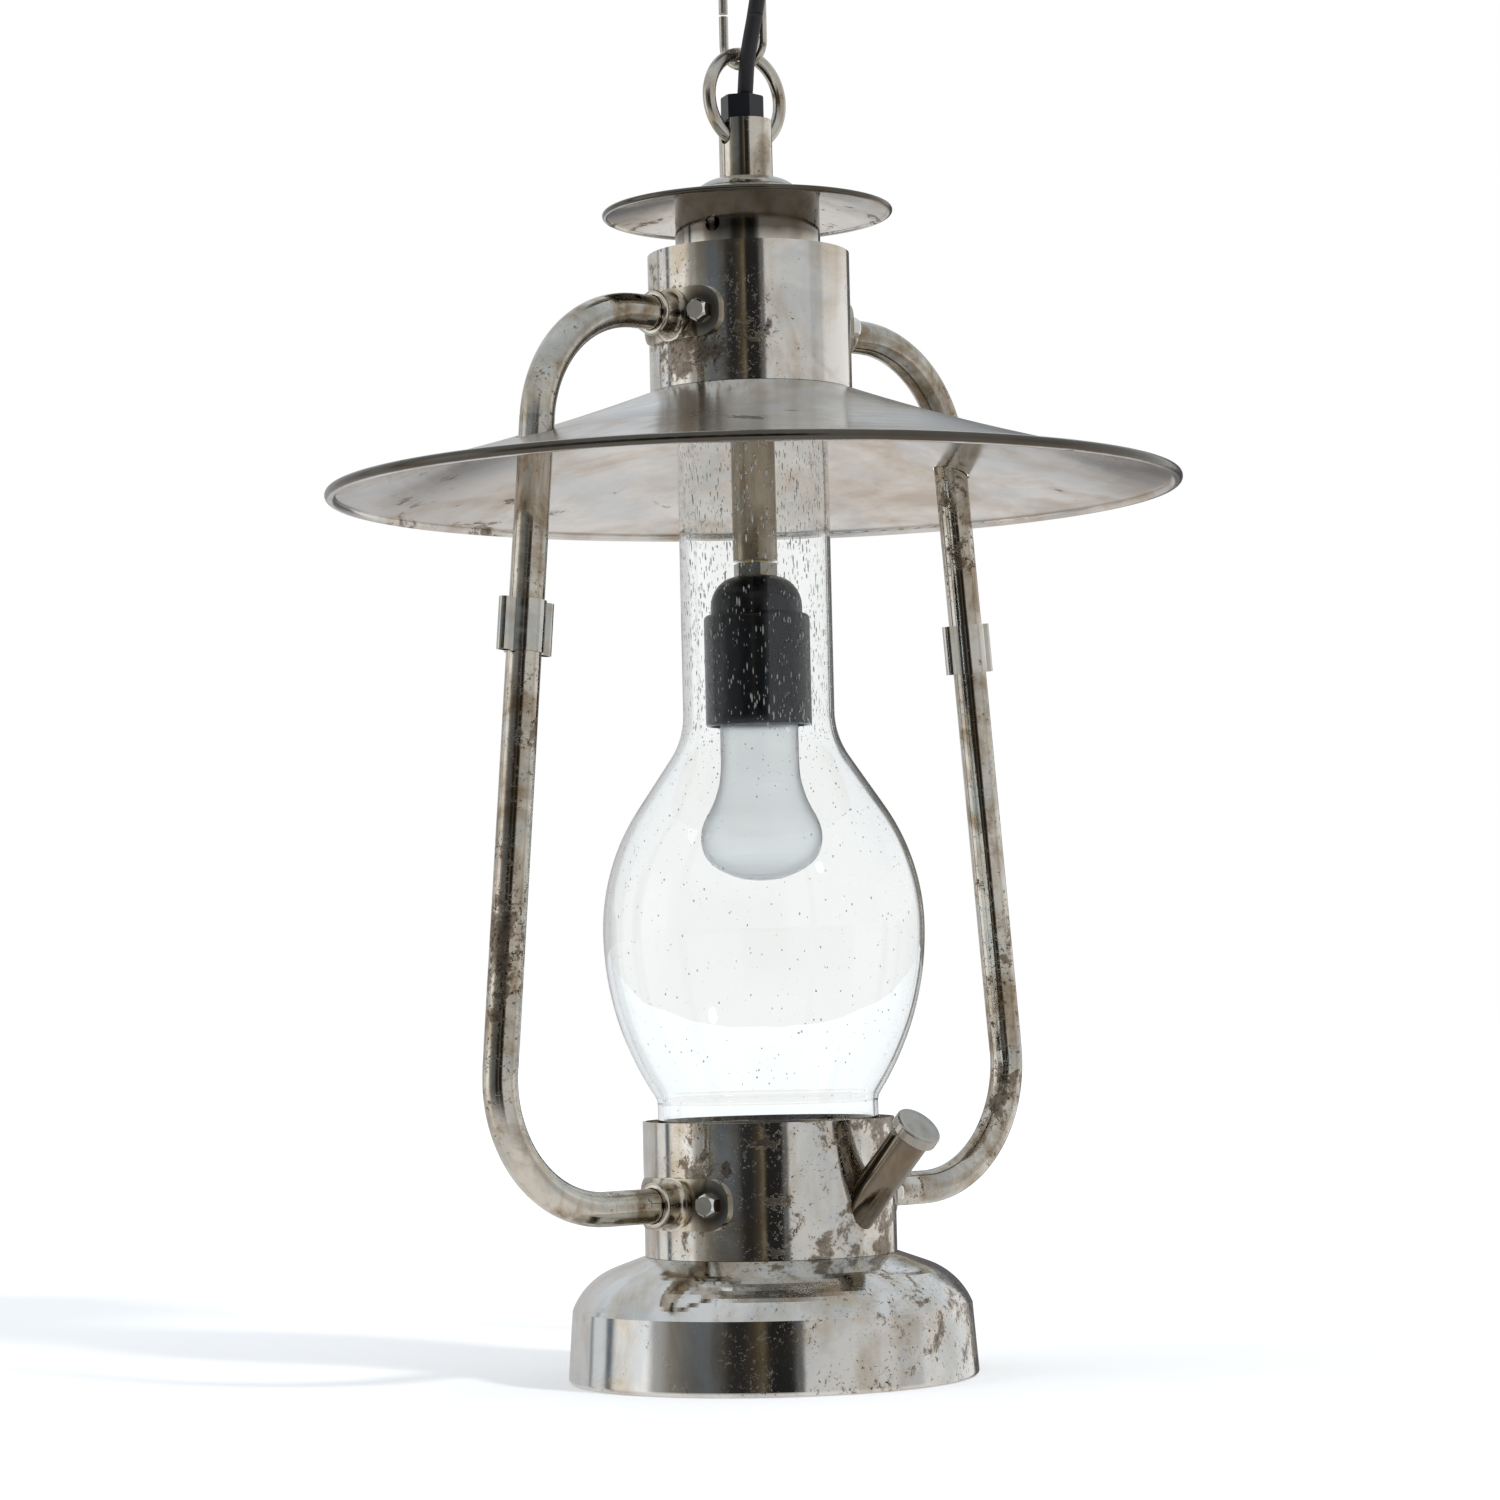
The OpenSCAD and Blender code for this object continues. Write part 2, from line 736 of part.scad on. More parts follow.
module lamp_tube() {
    top_z = ring_centre_z - ring_d / 2 - ring_wire / 2 - 2;
    color(nickel)
    at_lamp()
    translate([0, 0, tube_end_z])
    pipe(lamp_tube_d, lamp_tube_d - 2 * lamp_tube_wall, top_z - tube_end_z);
}

module tube_plug() {
    color(brass)
    at_lamp()
    translate([0, 0, tube_end_z])
    pipe(lamp_tube_d - 2 * lamp_tube_wall - 2 * seat_gap, nipple_d + thread_gap, 12);
}

module holder_nipple() {
    color(brass)
    at_lamp()
    translate([0, 0, dome_top_z - 6])
    pipe(nipple_d, nipple_bore, nut_space + 16);
}

module holder_nut() {
    color(pale_nickel)
    at_lamp()
    translate([0, 0, dome_top_z + seat_gap])
    difference() {
        hexagon(15.6, holder_nut_h);
        translate([0, 0, -1]) cylinder(d = nipple_d + thread_gap, h = holder_nut_h + 2);
    }
}

module holder_cap() {
    top_r = 7.2;
    base_r = skirt_d / 2 - 2.8;
    foot = 3;
    rise = dome_h - foot;
    bore_r = (nipple_d + thread_gap) / 2;
    outer = [
        for (i = [0:8])
            let (a = 90 * i / 8)
                [top_r + (base_r - top_r) * sin(a), rise * cos(a)]
    ];
    inner = [
        for (i = [8:-1:0])
            let (a = 90 * i / 8)
                [top_r + (base_r - top_r - holder_t) * sin(a), (rise - holder_t) * cos(a)]
    ];
    color(black_plastic)
    at_lamp()
    translate([0, 0, skirt_top_z + foot])
    rotate_extrude() polygon(concat(
        [[bore_r, rise]], outer, [[base_r, slip_gap - foot], [base_r - holder_t, slip_gap - foot]],
        inner, [[bore_r + 2, rise - holder_t], [bore_r + 2, rise - 6], [bore_r, rise - 6]]
    ));
}

module holder_skirt() {
    r = skirt_d / 2;
    edge = 2;
    color(black_plastic)
    at_lamp()
    translate([0, 0, skirt_end_z])
    rotate_extrude() polygon(concat(
        [[r - holder_t, 0]],
        arc([r - 1, 1], 1, -90, 0, 4),
        arc([r - edge, skirt_h - edge], edge, 0, 90, 6),
        [[r - 8, skirt_h], [r - 8, skirt_h - holder_t], [r - holder_t, skirt_h - holder_t]]
    ));
}

module holder_insert() {
    r = skirt_d / 2 - holder_t - slip_gap;
    color("antiquewhite")
    at_lamp()
    translate([0, 0, skirt_top_z - holder_t - slip_gap - 10])
    difference() {
        cylinder(r = r, h = 10);
        translate([0, 0, 6]) cylinder(d = nipple_bore, h = 5);
        for (s = [-1, 1])
            translate([s * 11, 0, 5]) cylinder(d = 5, h = 6);
    }
}

// The brass screw shell, its rolled thread left smooth
module contact_sleeve() {
    top_z = skirt_top_z - holder_t - slip_gap - 10;
    sleeve_h = 26;
    color(brass)
    at_lamp()
    translate([0, 0, top_z - sleeve_h]) union() {
        pipe(screw_d + 2 * slip_gap + 1.4, screw_d + 2 * slip_gap, sleeve_h - seat_gap);
        translate([0, 0, sleeve_h - 1.2])
            pipe(2 * (skirt_d / 2 - holder_t - slip_gap), screw_d, 1.2 - seat_gap);
        translate([-2, -6, sleeve_h - 1.2]) cube([4, 19.4, 1.2 - seat_gap]);
    }
}

module lamp_leads() {
    top_z = ring_centre_z - ring_d / 2 + ring_wire / 2 + 1.6;
    shades = ["saddlebrown", "royalblue", "yellowgreen"];
    at_lamp()
    for (i = [0:2])
        color(shades[i])
        rotate([0, 0, ring_turn])
        rod(
            [2.4 * (i - 1), ring_wire / 2 + 1.7, top_z],
            [1.9 * (i - 1), 0, skirt_top_z - holder_t - slip_gap - 3.5],
            1.7
        );
}

// The bulb's face, as shares of its radius and of its length below the holder
bulb_shares = [
    [0, 1], [0.3, 0.99], [0.583, 0.951], [0.8, 0.9], [0.93, 0.84], [0.992, 0.77],
    [1, 0.71], [0.975, 0.65], [0.9, 0.58], [0.79, 0.505], [0.715, 0.426], [0.665, 0.34]
];

// A path moved to its inner side
function inset(path, off) =
    let (last = len(path) - 1) [
        for (i = [0:last])
            let (
                way = path[min(i + 1, last)] - path[max(i - 1, 0)],
                p = path[i] - off * [way[1], -way[0]] / norm(way)
            )
                [max(p[0], 0), p[1]]
    ];

module bulb_glass() {
    glass = 1;
    neck_z = skirt_end_z + 3;
    face = [for (s = bulb_shares) [s[0] * bulb_d / 2, skirt_end_z - s[1] * bulb_l]];
    neck = [[bulb_neck_d / 2, skirt_end_z - 0.22 * bulb_l], [bulb_neck_d / 2, neck_z]];
    outer = concat(smooth_path(concat(face, neck), 2), [[screw_d / 2 - 1, neck_z + 4]]);
    color("whitesmoke")
    at_lamp()
    rotate_extrude() polygon(concat(outer, reversed(inset(outer, glass))));
}

module bulb_screw_cap() {
    neck_z = skirt_end_z + 7 + seat_gap;
    shell_h = 17;
    shell_t = 1;
    cone_h = 4;
    color(brass)
    at_lamp()
    translate([0, 0, neck_z]) union() {
        pipe(screw_d, screw_d - 2 * shell_t, shell_h);
        translate([0, 0, shell_h]) cylinder(d1 = screw_d, d2 = 11, h = cone_h);
        translate([0, 0, shell_h + cone_h]) cylinder(d = 9, h = 1.2);
    }
}

// Glass chimney

function chimney_side(off) =
    let (
        neck_r = neck_d / 2 - off,
        bulge_r = bulge_d / 2 - off,
        foot_r = low_in_r - foot_room - off,
        up_r = bulge_up_r - off,
        low_r = bulge_low_r - off,
        hollow = neck_fillet_r + off,
        z = low_rim_z + bulge_rise,
        up_end = [bulge_r - up_r * (1 - cos(chimney_slope)), z + up_r * sin(chimney_slope)],
        turn_r = neck_r + hollow * (1 - cos(chimney_slope)),
        turn_z = up_end[1] + (up_end[0] - turn_r) / tan(chimney_slope),
        neck_z = turn_z + hollow * sin(chimney_slope),
        foot_blend = 6 + off,
        meet = acos((low_r - bulge_r + foot_r + foot_blend) / (low_r + foot_blend)),
        blend_z = z - (low_r + foot_blend) * sin(meet)
    )
        concat(
            [[foot_r, low_rim_z - seat_depth]],
            arc([foot_r + foot_blend, blend_z], foot_blend, 180, 180 - meet, 5),
            arc([bulge_r - low_r, z], low_r, -meet, 0, 14),
            arc([bulge_r - up_r, z], up_r, chimney_slope / 12, chimney_slope, 11),
            arc([neck_r + hollow, neck_z], hollow, 180 + chimney_slope, 180, 7),
            [[neck_r, up_foot_z + neck_inside]]
        );

module chimney() {
    color("lightcyan", 0.4)
    at_lamp()
    rotate_extrude() polygon(concat(chimney_side(0), reversed(chimney_side(glass_t))));
}

// Lower collar and font

module chimney_seat() {
    r = low_in_r - seat_gap;
    foot_r = low_in_r - foot_room;
    ledge_r = foot_r - glass_t - 2;
    floor_t = 1.2;
    top_z = seat_depth - 2;
    lead_in = 2;
    color(nickel)
    at_lamp()
    translate([0, 0, low_rim_z - seat_depth])
    rotate_extrude() polygon([
        [ledge_r, -slip_gap - floor_t], [r, -slip_gap - floor_t], [r, top_z],
        [foot_r + slip_gap + lead_in, top_z], [foot_r + slip_gap, top_z - lead_in],
        [foot_r + slip_gap, -slip_gap], [ledge_r, -slip_gap]
    ]);
}

module spout_place() {
    at_lamp() rotate([0, 0, spout_turn]) translate([low_collar_d / 2, 0, low_arm_z])
        rotate([0, 90 - spout_slope, 0]) children();
}

module lower_collar() {
    color(nickel)
    difference() {
        at_lamp() translate([0, 0, font_top_z + seat_gap])
            pipe(low_collar_d, 2 * low_in_r, low_collar_h - seat_gap);
        at_lamp() clamp_cuts(low_collar_d, low_arm_z);
        spout_place() translate([0, 0, -spout_l / 2])
            cylinder(d = spout_d + 2 * seat_gap, h = spout_l);
    }
}

module collar_deck() {
    color(nickel)
    at_lamp()
    translate([0, 0, font_top_z + 1])
    difference() {
        cylinder(r = low_in_r - seat_gap, h = 1.2);
        translate([0, 0, -1]) cylinder(d = 24, h = 4);
    }
}

module font_shell() {
    shoulder = arc(
        [crease_d / 2 - shoulder_r * sin(shoulder_steep), font_wall_h - shoulder_r * cos(shoulder_steep)],
        shoulder_r, 90 - shoulder_steep, 90 - shoulder_flat, 12
    );
    under = arc(
        [crease_d / 2 - shoulder_r * sin(shoulder_steep), font_wall_h - shoulder_r * cos(shoulder_steep)],
        shoulder_r - font_t, 90 - shoulder_flat, 90 - shoulder_steep, 12
    );
    lip_r = low_in_r - 4;
    foot_r = font_d / 2;
    color(nickel)
    at_lamp()
    rotate_extrude() polygon(concat(
        [[foot_r - foot_round, 0]],
        arc([foot_r - foot_round, foot_round], foot_round, -60, 0, 4),
        shoulder,
        [[low_collar_d / 2, font_top_z], [lip_r, font_top_z], [lip_r, font_top_z - font_t]],
        [[low_collar_d / 2 - font_t, font_top_z - font_t]],
        under,
        [[crease_d / 2 - font_t, font_wall_h - font_t], [foot_r - foot_round - font_t, 0]]
    ));
}

module base_plate() {
    r = font_d / 2 - foot_round - font_t - seat_gap;
    color(nickel)
    at_lamp()
    translate([0, 0, 0.2])
    cylinder(r = r, h = 1.2);
}

module filler_spout() {
    color(nickel)
    difference() {
        spout_place() translate([0, 0, -spout_l / 2])
            cylinder(d = spout_d, h = 1.5 * spout_l - 1.6);
        spout_place() translate([0, 0, -spout_l])
            cylinder(d = spout_d - 2 * spout_wall, h = 2 * spout_l + 2);
        at_lamp() cylinder(r = low_in_r - 3, h = low_rim_z);
    }
}

module filler_cap() {
    r = filler_d / 2;
    bore_r = spout_d / 2 + slip_gap;
    color(pale_nickel)
    spout_place() translate([0, 0, spout_l - filler_h])
    rotate_extrude() polygon(concat(
        [[bore_r, 0], [r - 0.8, 0]],
        arc([r - 0.8, 0.8], 0.8, -45, 0, 3),
        arc([r - 1, filler_h - 1.2], 1, 0, 80, 5),
        [[r - 2.4, filler_h - 0.5], [0, filler_h - 0.1], [0, filler_h - 0.9]],
        [[bore_r, filler_h - 1]]
    ));
}

module cap_seal() {
    color(black_plastic)
    spout_place() translate([0, 0, spout_l - 1.5])
    pipe(spout_d - 0.2, spout_d - 5, 0.5 - seat_gap);
}

// Side tubes and their joints

// The tube is drawn a little thinner through a bend, which runs into both straights
module bend(d, from, to) {
    over = bend_over / bend_r * 180 / PI;
    rotate([0, -from + over, 0]) rotate([90, 0, 0])
        rotate_extrude(angle = to - from + 2 * over) translate([bend_r, 0]) circle(d = d);
}

module upper_run(d, bend_d, extra) {
    start_x = up_collar_d / 2 + seat_gap - extra;
    low = [up_reach + up_tangent * sin(tube_lean), up_arm_z - up_tangent * cos(tube_lean)];
    straight = (low[1] - joint_z) / cos(tube_lean) - seat_gap + extra;
    translate([start_x, 0, up_arm_z]) rotate([0, 90, 0])
        cylinder(d = d, h = up_reach - up_tangent - start_x);
    translate([up_reach - up_tangent, 0, up_arm_z - bend_r]) bend(bend_d, tube_lean, 90);
    translate([low[0], 0, low[1]]) rotate([0, 180 - tube_lean, 0]) cylinder(d = d, h = straight);
}

module lower_run(d, bend_d, extra) {
    start_x = low_collar_d / 2 + seat_gap - extra;
    top = [low_reach - low_tangent * sin(tube_lean), low_arm_z + low_tangent * cos(tube_lean)];
    straight = (joint_z - top[1]) / cos(tube_lean) - seat_gap + extra;
    translate([start_x, 0, low_arm_z]) rotate([0, 90, 0])
        cylinder(d = d, h = low_reach - low_tangent - start_x);
    translate([low_reach - low_tangent, 0, low_arm_z + bend_r]) bend(bend_d, -90, tube_lean);
    translate([top[0], 0, top[1]]) rotate([0, -tube_lean, 0]) cylinder(d = d, h = straight);
}

module upper_tube() {
    id = tube_d - 2 * tube_wall;
    color(nickel)
    at_lamp()
    difference() {
        upper_run(tube_d, tube_d - bend_thin, 0);
        upper_run(id, id + bend_thin, 1);
    }
}

module lower_tube() {
    id = tube_d - 2 * tube_wall;
    color(nickel)
    at_lamp()
    difference() {
        lower_run(tube_d, tube_d - bend_thin, 0);
        lower_run(id, id + bend_thin, 1);
    }
}

module right_upper_tube() {
    upper_tube();
}

module left_upper_tube() {
    left_side() upper_tube();
}

module right_lower_tube() {
    lower_tube();
}

module left_lower_tube() {
    left_side() lower_tube();
}

module joint_place() {
    at_lamp() translate([joint_x, 0, joint_z]) rotate([0, -tube_lean, 0]) children();
}

module tube_spigot() {
    joint_place() translate([0, 0, -spigot_l / 2])
        pipe(tube_d - 2 * tube_wall - 2 * seat_gap, tube_d - 4 * tube_wall, spigot_l);
}

module tube_spigots() {
    color(brass) {
        tube_spigot();
        left_side() tube_spigot();
    }
}

// Folded sheet: a band that hugs the tube with a hollow ear on either side
module sleeve_clip() {
    hug_r = tube_d / 2 + seat_gap + clip_t;
    ear_x = sleeve_w / 2 - ear_t / 2;
    joint_place() translate([0, 0, -sleeve_l / 2])
    linear_extrude(sleeve_l) difference() {
        union() {
            circle(r = hug_r);
            for (s = [-1, 1]) translate([s * ear_x, 0]) circle(d = ear_t, $fn = 32);
            square([2 * ear_x, ear_t], center = true);
        }
        circle(d = tube_d + 2 * seat_gap);
        for (s = [-1, 1]) {
            translate([s * ear_x, 0]) circle(d = ear_t - 2 * clip_t, $fn = 32);
            translate([s * (hug_r + ear_x) / 2, 0])
                square([ear_x - hug_r, ear_t - 2 * clip_t], center = true);
        }
    }
}

module right_sleeve_clip() {
    color(pale_nickel) sleeve_clip();
}

module left_sleeve_clip() {
    color(pale_nickel) left_side() sleeve_clip();
}

// A plate rolled to the collar with a lipped socket for the tube
module saddle_flange(collar_d, z) {
    r = collar_d / 2;
    plate_r = r + plate_t;
    half_w = plate_r * bolt_angle * PI / 180 + plate_end;
    half_a = half_w / plate_r * 180 / PI;
    flat_half = plate_r * sin(min(half_a, 80));
    socket_r = socket_d / 2;
    lip = 1.2;
    flare = 2.2;
    at_lamp()
    translate([0, 0, z])
    difference() {
        union() {
            intersection() {
                translate([0, 0, -plate_h / 2]) cylinder(r = plate_r, h = plate_h);
                rotate([90, 0, 90]) linear_extrude(2 * plate_r) union() {
                    square([2 * (flat_half - plate_corner), plate_h], center = true);
                    square([2 * flat_half, plate_h - 2 * plate_corner], center = true);
                    for (x = [-1, 1], y = [-1, 1])
                        translate([x * (flat_half - plate_corner), y * (plate_h / 2 - plate_corner)])
                            circle(r = plate_corner);
                }
            }
            translate([r - 3, 0, 0]) rotate([0, 90, 0]) cylinder(r = socket_r - 0.8, h = socket_l + 3 - lip);
            translate([r, 0, 0]) rotate([0, 90, 0])
                rotate_extrude() polygon(concat(
                    [[0, 0], [socket_r - 0.8 + flare, 0]],
                    arc([socket_r - 0.8 + flare, plate_t + flare], flare, -90, -180, 6),
                    [[0, plate_t + flare]]
                ));
            translate([r + socket_l - 2 * lip, 0, 0]) rotate([0, 90, 0]) rotate_extrude() union() {
                translate([socket_r - lip, lip]) circle(r = lip, $fn = 24);
                square([socket_r - lip, 2 * lip]);
            }
        }
        translate([0, 0, -plate_h]) cylinder(r = r + seat_gap / 2, h = 2 * plate_h);
        rotate([0, 90, 0]) cylinder(d = tube_d + 2 * slip_gap, h = 2 * plate_r);
        for (s = [-1, 1])
            rotate([0, 0, s * bolt_angle]) rotate([0, 90, 0])
                cylinder(d = bolt_d + slip_gap, h = 2 * plate_r);
    }
}

module right_upper_flange() {
    color(nickel) saddle_flange(up_collar_d, up_arm_z);
}

module left_upper_flange() {
    color(nickel) left_side() saddle_flange(up_collar_d, up_arm_z);
}

module right_lower_flange() {
    color(nickel) saddle_flange(low_collar_d, low_arm_z);
}

module left_lower_flange() {
    color(nickel) left_side() saddle_flange(low_collar_d, low_arm_z);
}

// One place for each clamp bolt, with +Z pointing out through the plate
module bolt_places(z) {
    at_lamp()
    for (side = [0, 180], s = [-1, 1])
        rotate([0, 0, side + s * bolt_angle]) translate([0, 0, z]) rotate([0, 90, 0]) children();
}

module bolts(collar_d, z) {
    seat = collar_d / 2 + plate_t + seat_gap / 2;
    nut_seat = sqrt(pow(collar_d / 2 - collar_t, 2) - hex_r * hex_r);
    color(pale_nickel)
    bolt_places(z) union() {
        translate([0, 0, seat]) intersection() {
            hexagon(hex_af, head_h);
            cylinder(d1 = 2 * hex_r + head_h, d2 = hex_af * 0.8, h = head_h + 0.4);
        }
        translate([0, 0, nut_seat - nut_h - 1]) cylinder(d = bolt_d, h = seat - nut_seat + nut_h + 2);
    }
}

module nuts(collar_d, z) {
    nut_seat = sqrt(pow(collar_d / 2 - collar_t, 2) - hex_r * hex_r) - seat_gap / 2;
    color(pale_nickel)
    bolt_places(z) translate([0, 0, nut_seat - nut_h]) difference() {
        hexagon(hex_af, nut_h);
        translate([0, 0, -1]) cylinder(d = bolt_d + thread_gap, h = nut_h + 2);
    }
}

module upper_bolts() {
    bolts(up_collar_d, up_arm_z);
}

module lower_bolts() {
    bolts(low_collar_d, low_arm_z);
}

module upper_nuts() {
    nuts(up_collar_d, up_arm_z);
}

module lower_nuts() {
    nuts(low_collar_d, low_arm_z);
}

mounting_bar();
canopy();
canopy_nipple();
canopy_nuts();
canopy_loop();
canopy_gland();
terminal_block();
canopy_leads();
supply_cable();
chain_link_1();
chain_link_2();
hanging_ring();
cable_gland();
stem_tube();
stem_flange();
top_cap();
vent_tube();
vent_bridge();
stem_nut();
collar_top_plate();
upper_collar();
shade();
lamp_tube();
tube_plug();
holder_nipple();
holder_nut();
holder_cap();
holder_skirt();
holder_insert();
contact_sleeve();
lamp_leads();
bulb_glass();
bulb_screw_cap();
chimney();
chimney_seat();
lower_collar();
collar_deck();
font_shell();
base_plate();
filler_spout();
filler_cap();
cap_seal();
left_upper_tube();
left_lower_tube();
right_upper_tube();
right_lower_tube();
tube_spigots();
left_sleeve_clip();
right_sleeve_clip();
left_upper_flange();
right_upper_flange();
left_lower_flange();
right_lower_flange();
upper_bolts();
lower_bolts();
upper_nuts();
lower_nuts();
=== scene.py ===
"""Looks of the chain-hung pendant lamp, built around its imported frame.

Metres. The origin is on the ceiling, +Z is up and the lamp hangs below it.
"""

import json
import math
import random

import bmesh
import bpy
from mathutils import Matrix, Vector


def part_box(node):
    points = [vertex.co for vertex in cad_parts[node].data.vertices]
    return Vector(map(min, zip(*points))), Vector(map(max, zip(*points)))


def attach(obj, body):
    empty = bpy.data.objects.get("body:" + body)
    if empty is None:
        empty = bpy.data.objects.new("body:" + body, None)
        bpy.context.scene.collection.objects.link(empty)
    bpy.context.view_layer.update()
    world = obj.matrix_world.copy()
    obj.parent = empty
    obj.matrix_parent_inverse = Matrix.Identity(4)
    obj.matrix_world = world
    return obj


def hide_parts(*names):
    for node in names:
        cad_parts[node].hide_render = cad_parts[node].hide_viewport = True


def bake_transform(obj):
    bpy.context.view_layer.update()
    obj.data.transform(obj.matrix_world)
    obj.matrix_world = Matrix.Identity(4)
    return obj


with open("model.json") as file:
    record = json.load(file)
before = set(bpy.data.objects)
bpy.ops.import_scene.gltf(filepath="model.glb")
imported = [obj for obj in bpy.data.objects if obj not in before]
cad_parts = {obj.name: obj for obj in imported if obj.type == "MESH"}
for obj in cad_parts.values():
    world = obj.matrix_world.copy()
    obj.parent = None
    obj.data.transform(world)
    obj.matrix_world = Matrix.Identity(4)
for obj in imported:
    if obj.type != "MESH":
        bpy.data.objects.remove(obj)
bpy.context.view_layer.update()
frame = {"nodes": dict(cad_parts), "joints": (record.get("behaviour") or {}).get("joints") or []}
nodes = frame["nodes"]

MM = 0.001
FOOT_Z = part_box("font_shell")[0][2]

# Where the camera stands, in a frame on the lamp's axis and foot with the camera along -Y
CAMERA_TURN = math.radians(-42.5)
CAMERA_REACH = 1.648
CAMERA_RISE = 0.1554
CAMERA_PITCH = math.radians(3.173)
CAMERA_YAW = math.radians(-0.133)
CAMERA_ROLL = math.radians(-1.329)
LENS_MM = 100
SENSOR_MM = 36
FARTHEST_SEEN = 60


def make_camera():
    forward = Vector((
        math.sin(CAMERA_YAW) * math.cos(CAMERA_PITCH),
        math.cos(CAMERA_YAW) * math.cos(CAMERA_PITCH),
        math.sin(CAMERA_PITCH),
    ))
    level = Vector((math.cos(CAMERA_YAW), -math.sin(CAMERA_YAW), 0))
    upright = level.cross(forward)
    right = math.cos(CAMERA_ROLL) * level + math.sin(CAMERA_ROLL) * upright
    up = -math.sin(CAMERA_ROLL) * level + math.cos(CAMERA_ROLL) * upright
    axes = Matrix((right, up, -forward)).transposed().to_4x4()
    place = Matrix.Translation((0, -CAMERA_REACH, CAMERA_RISE))
    data = bpy.data.cameras.new("camera")
    data.lens = LENS_MM
    data.sensor_width = SENSOR_MM
    data.clip_end = FARTHEST_SEEN
    camera = bpy.data.objects.new("camera", data)
    camera.matrix_world = (
        Matrix.Translation((0, 0, FOOT_Z)) @ Matrix.Rotation(CAMERA_TURN, 4, "Z") @ place @ axes
    )
    bpy.context.collection.objects.link(camera)
    bpy.context.scene.camera = camera


make_camera()


def add_mesh(name, form, smooth=True):
    """An object made of a finished form, which is used up."""
    mesh = bpy.data.meshes.new(name)
    form.to_mesh(mesh)
    form.free()
    for face in mesh.polygons:
        face.use_smooth = smooth
    piece = bpy.data.objects.new(name, mesh)
    bpy.context.collection.objects.link(piece)
    return piece


def angles(count):
    """Angles evenly round a circle."""
    return [math.tau * k / count for k in range(count)]


def add_band(form, low, high):
    """Faces between two rings that have the same number of corners."""
    for k in range(len(low)):
        n = (k + 1) % len(low)
        form.faces.new((low[k], low[n], high[n], high[k]))


def tube(name, path, radius, sides=20):
    """A closed round tube along a path, with its rings square to it."""
    form = bmesh.new()
    rings = []
    for i, here in enumerate(path):
        along = (path[min(i + 1, len(path) - 1)] - path[max(i - 1, 0)]).normalized()
        side = Vector((0, 1, 0)).cross(along).normalized()
        over = along.cross(side)
        rings.append([
            form.verts.new(here + radius * (side * math.cos(a) + over * math.sin(a)))
            for a in angles(sides)
        ])
    for low, high in zip(rings, rings[1:]):
        add_band(form, low, high)
    form.faces.new(list(reversed(rings[0])))
    form.faces.new(rings[-1])
    return add_mesh(name, form)


def smooth_path(points, steps):
    """Points on a smooth curve through the given ones."""
    last = len(points) - 1
    path = []
    for i in range(last):
        a, b, c, d = (points[min(max(k, 0), last)] for k in (i - 1, i, i + 1, i + 2))
        for k in range(steps):
            t = k / steps
            path.append((
                2 * b + (c - a) * t + (2 * a - 5 * b + 4 * c - d) * t ** 2
                + (3 * b - a - 3 * c + d) * t ** 3
            ) / 2)
    return path + [points[last]]


# Supply cable, with its route as chosen in the part's source: millimetres above the lamp's foot
CABLE_D = 0.0063
CABLE_POINTS = [
    (0.7, 2.4, 500.5), (0.3, 1, 504.5), (-0.3, -0.6, 508.5), (-1.4, -2.4, 512.5),
    (-2.8, -4.4, 516.5), (-3.9, -6.3, 520.5), (-4.6, -8.2, 525), (-4.8, -9.9, 530),
    (-4.7, -12, 537), (-4.5, -14.4, 547), (-4.1, -17.4, 562), (-2.7, -20.5, 580),
    (-0.8, -23, 596), (0, -24, 608.5), (0, -24, 616.5), (0, -24, 624),
]
CABLE_STEPS = 5
# Bodies of the chain from the ceiling down; the cable is cut midway between their joints
CHAIN = ["ceiling_fitting", "upper_link", "lower_link", "lamp"]


def make_cable():
    """Three lengths of one cable, each running across one joint of the chain."""
    points = [Vector((x, y, z)) * MM + Vector((0, 0, FOOT_Z)) for x, y, z in CABLE_POINTS]
    path = smooth_path(points, CABLE_STEPS)
    joints = {j["child"]: j["pos_m"][2] for j in frame["joints"] if "pos_m" in j}
    pivots = [joints[body] for body in CHAIN[1:]]
    between = [(high + low) / 2 for high, low in zip(pivots, pivots[1:])]
    cuts = [path[-1][2], *between, path[0][2]]
    pieces = []
    for i, name in enumerate(("cable_top", "cable_middle", "cable_low")):
        inside = [k for k, p in enumerate(path) if cuts[i + 1] <= p[2] <= cuts[i]]
        part = path[max(inside[0] - 1, 0):inside[-1] + 1]
        piece = tube(name, part, CABLE_D / 2)
        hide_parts("supply_cable")
        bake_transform(piece)
        pieces.append(piece)
    return pieces


cable = make_cable()


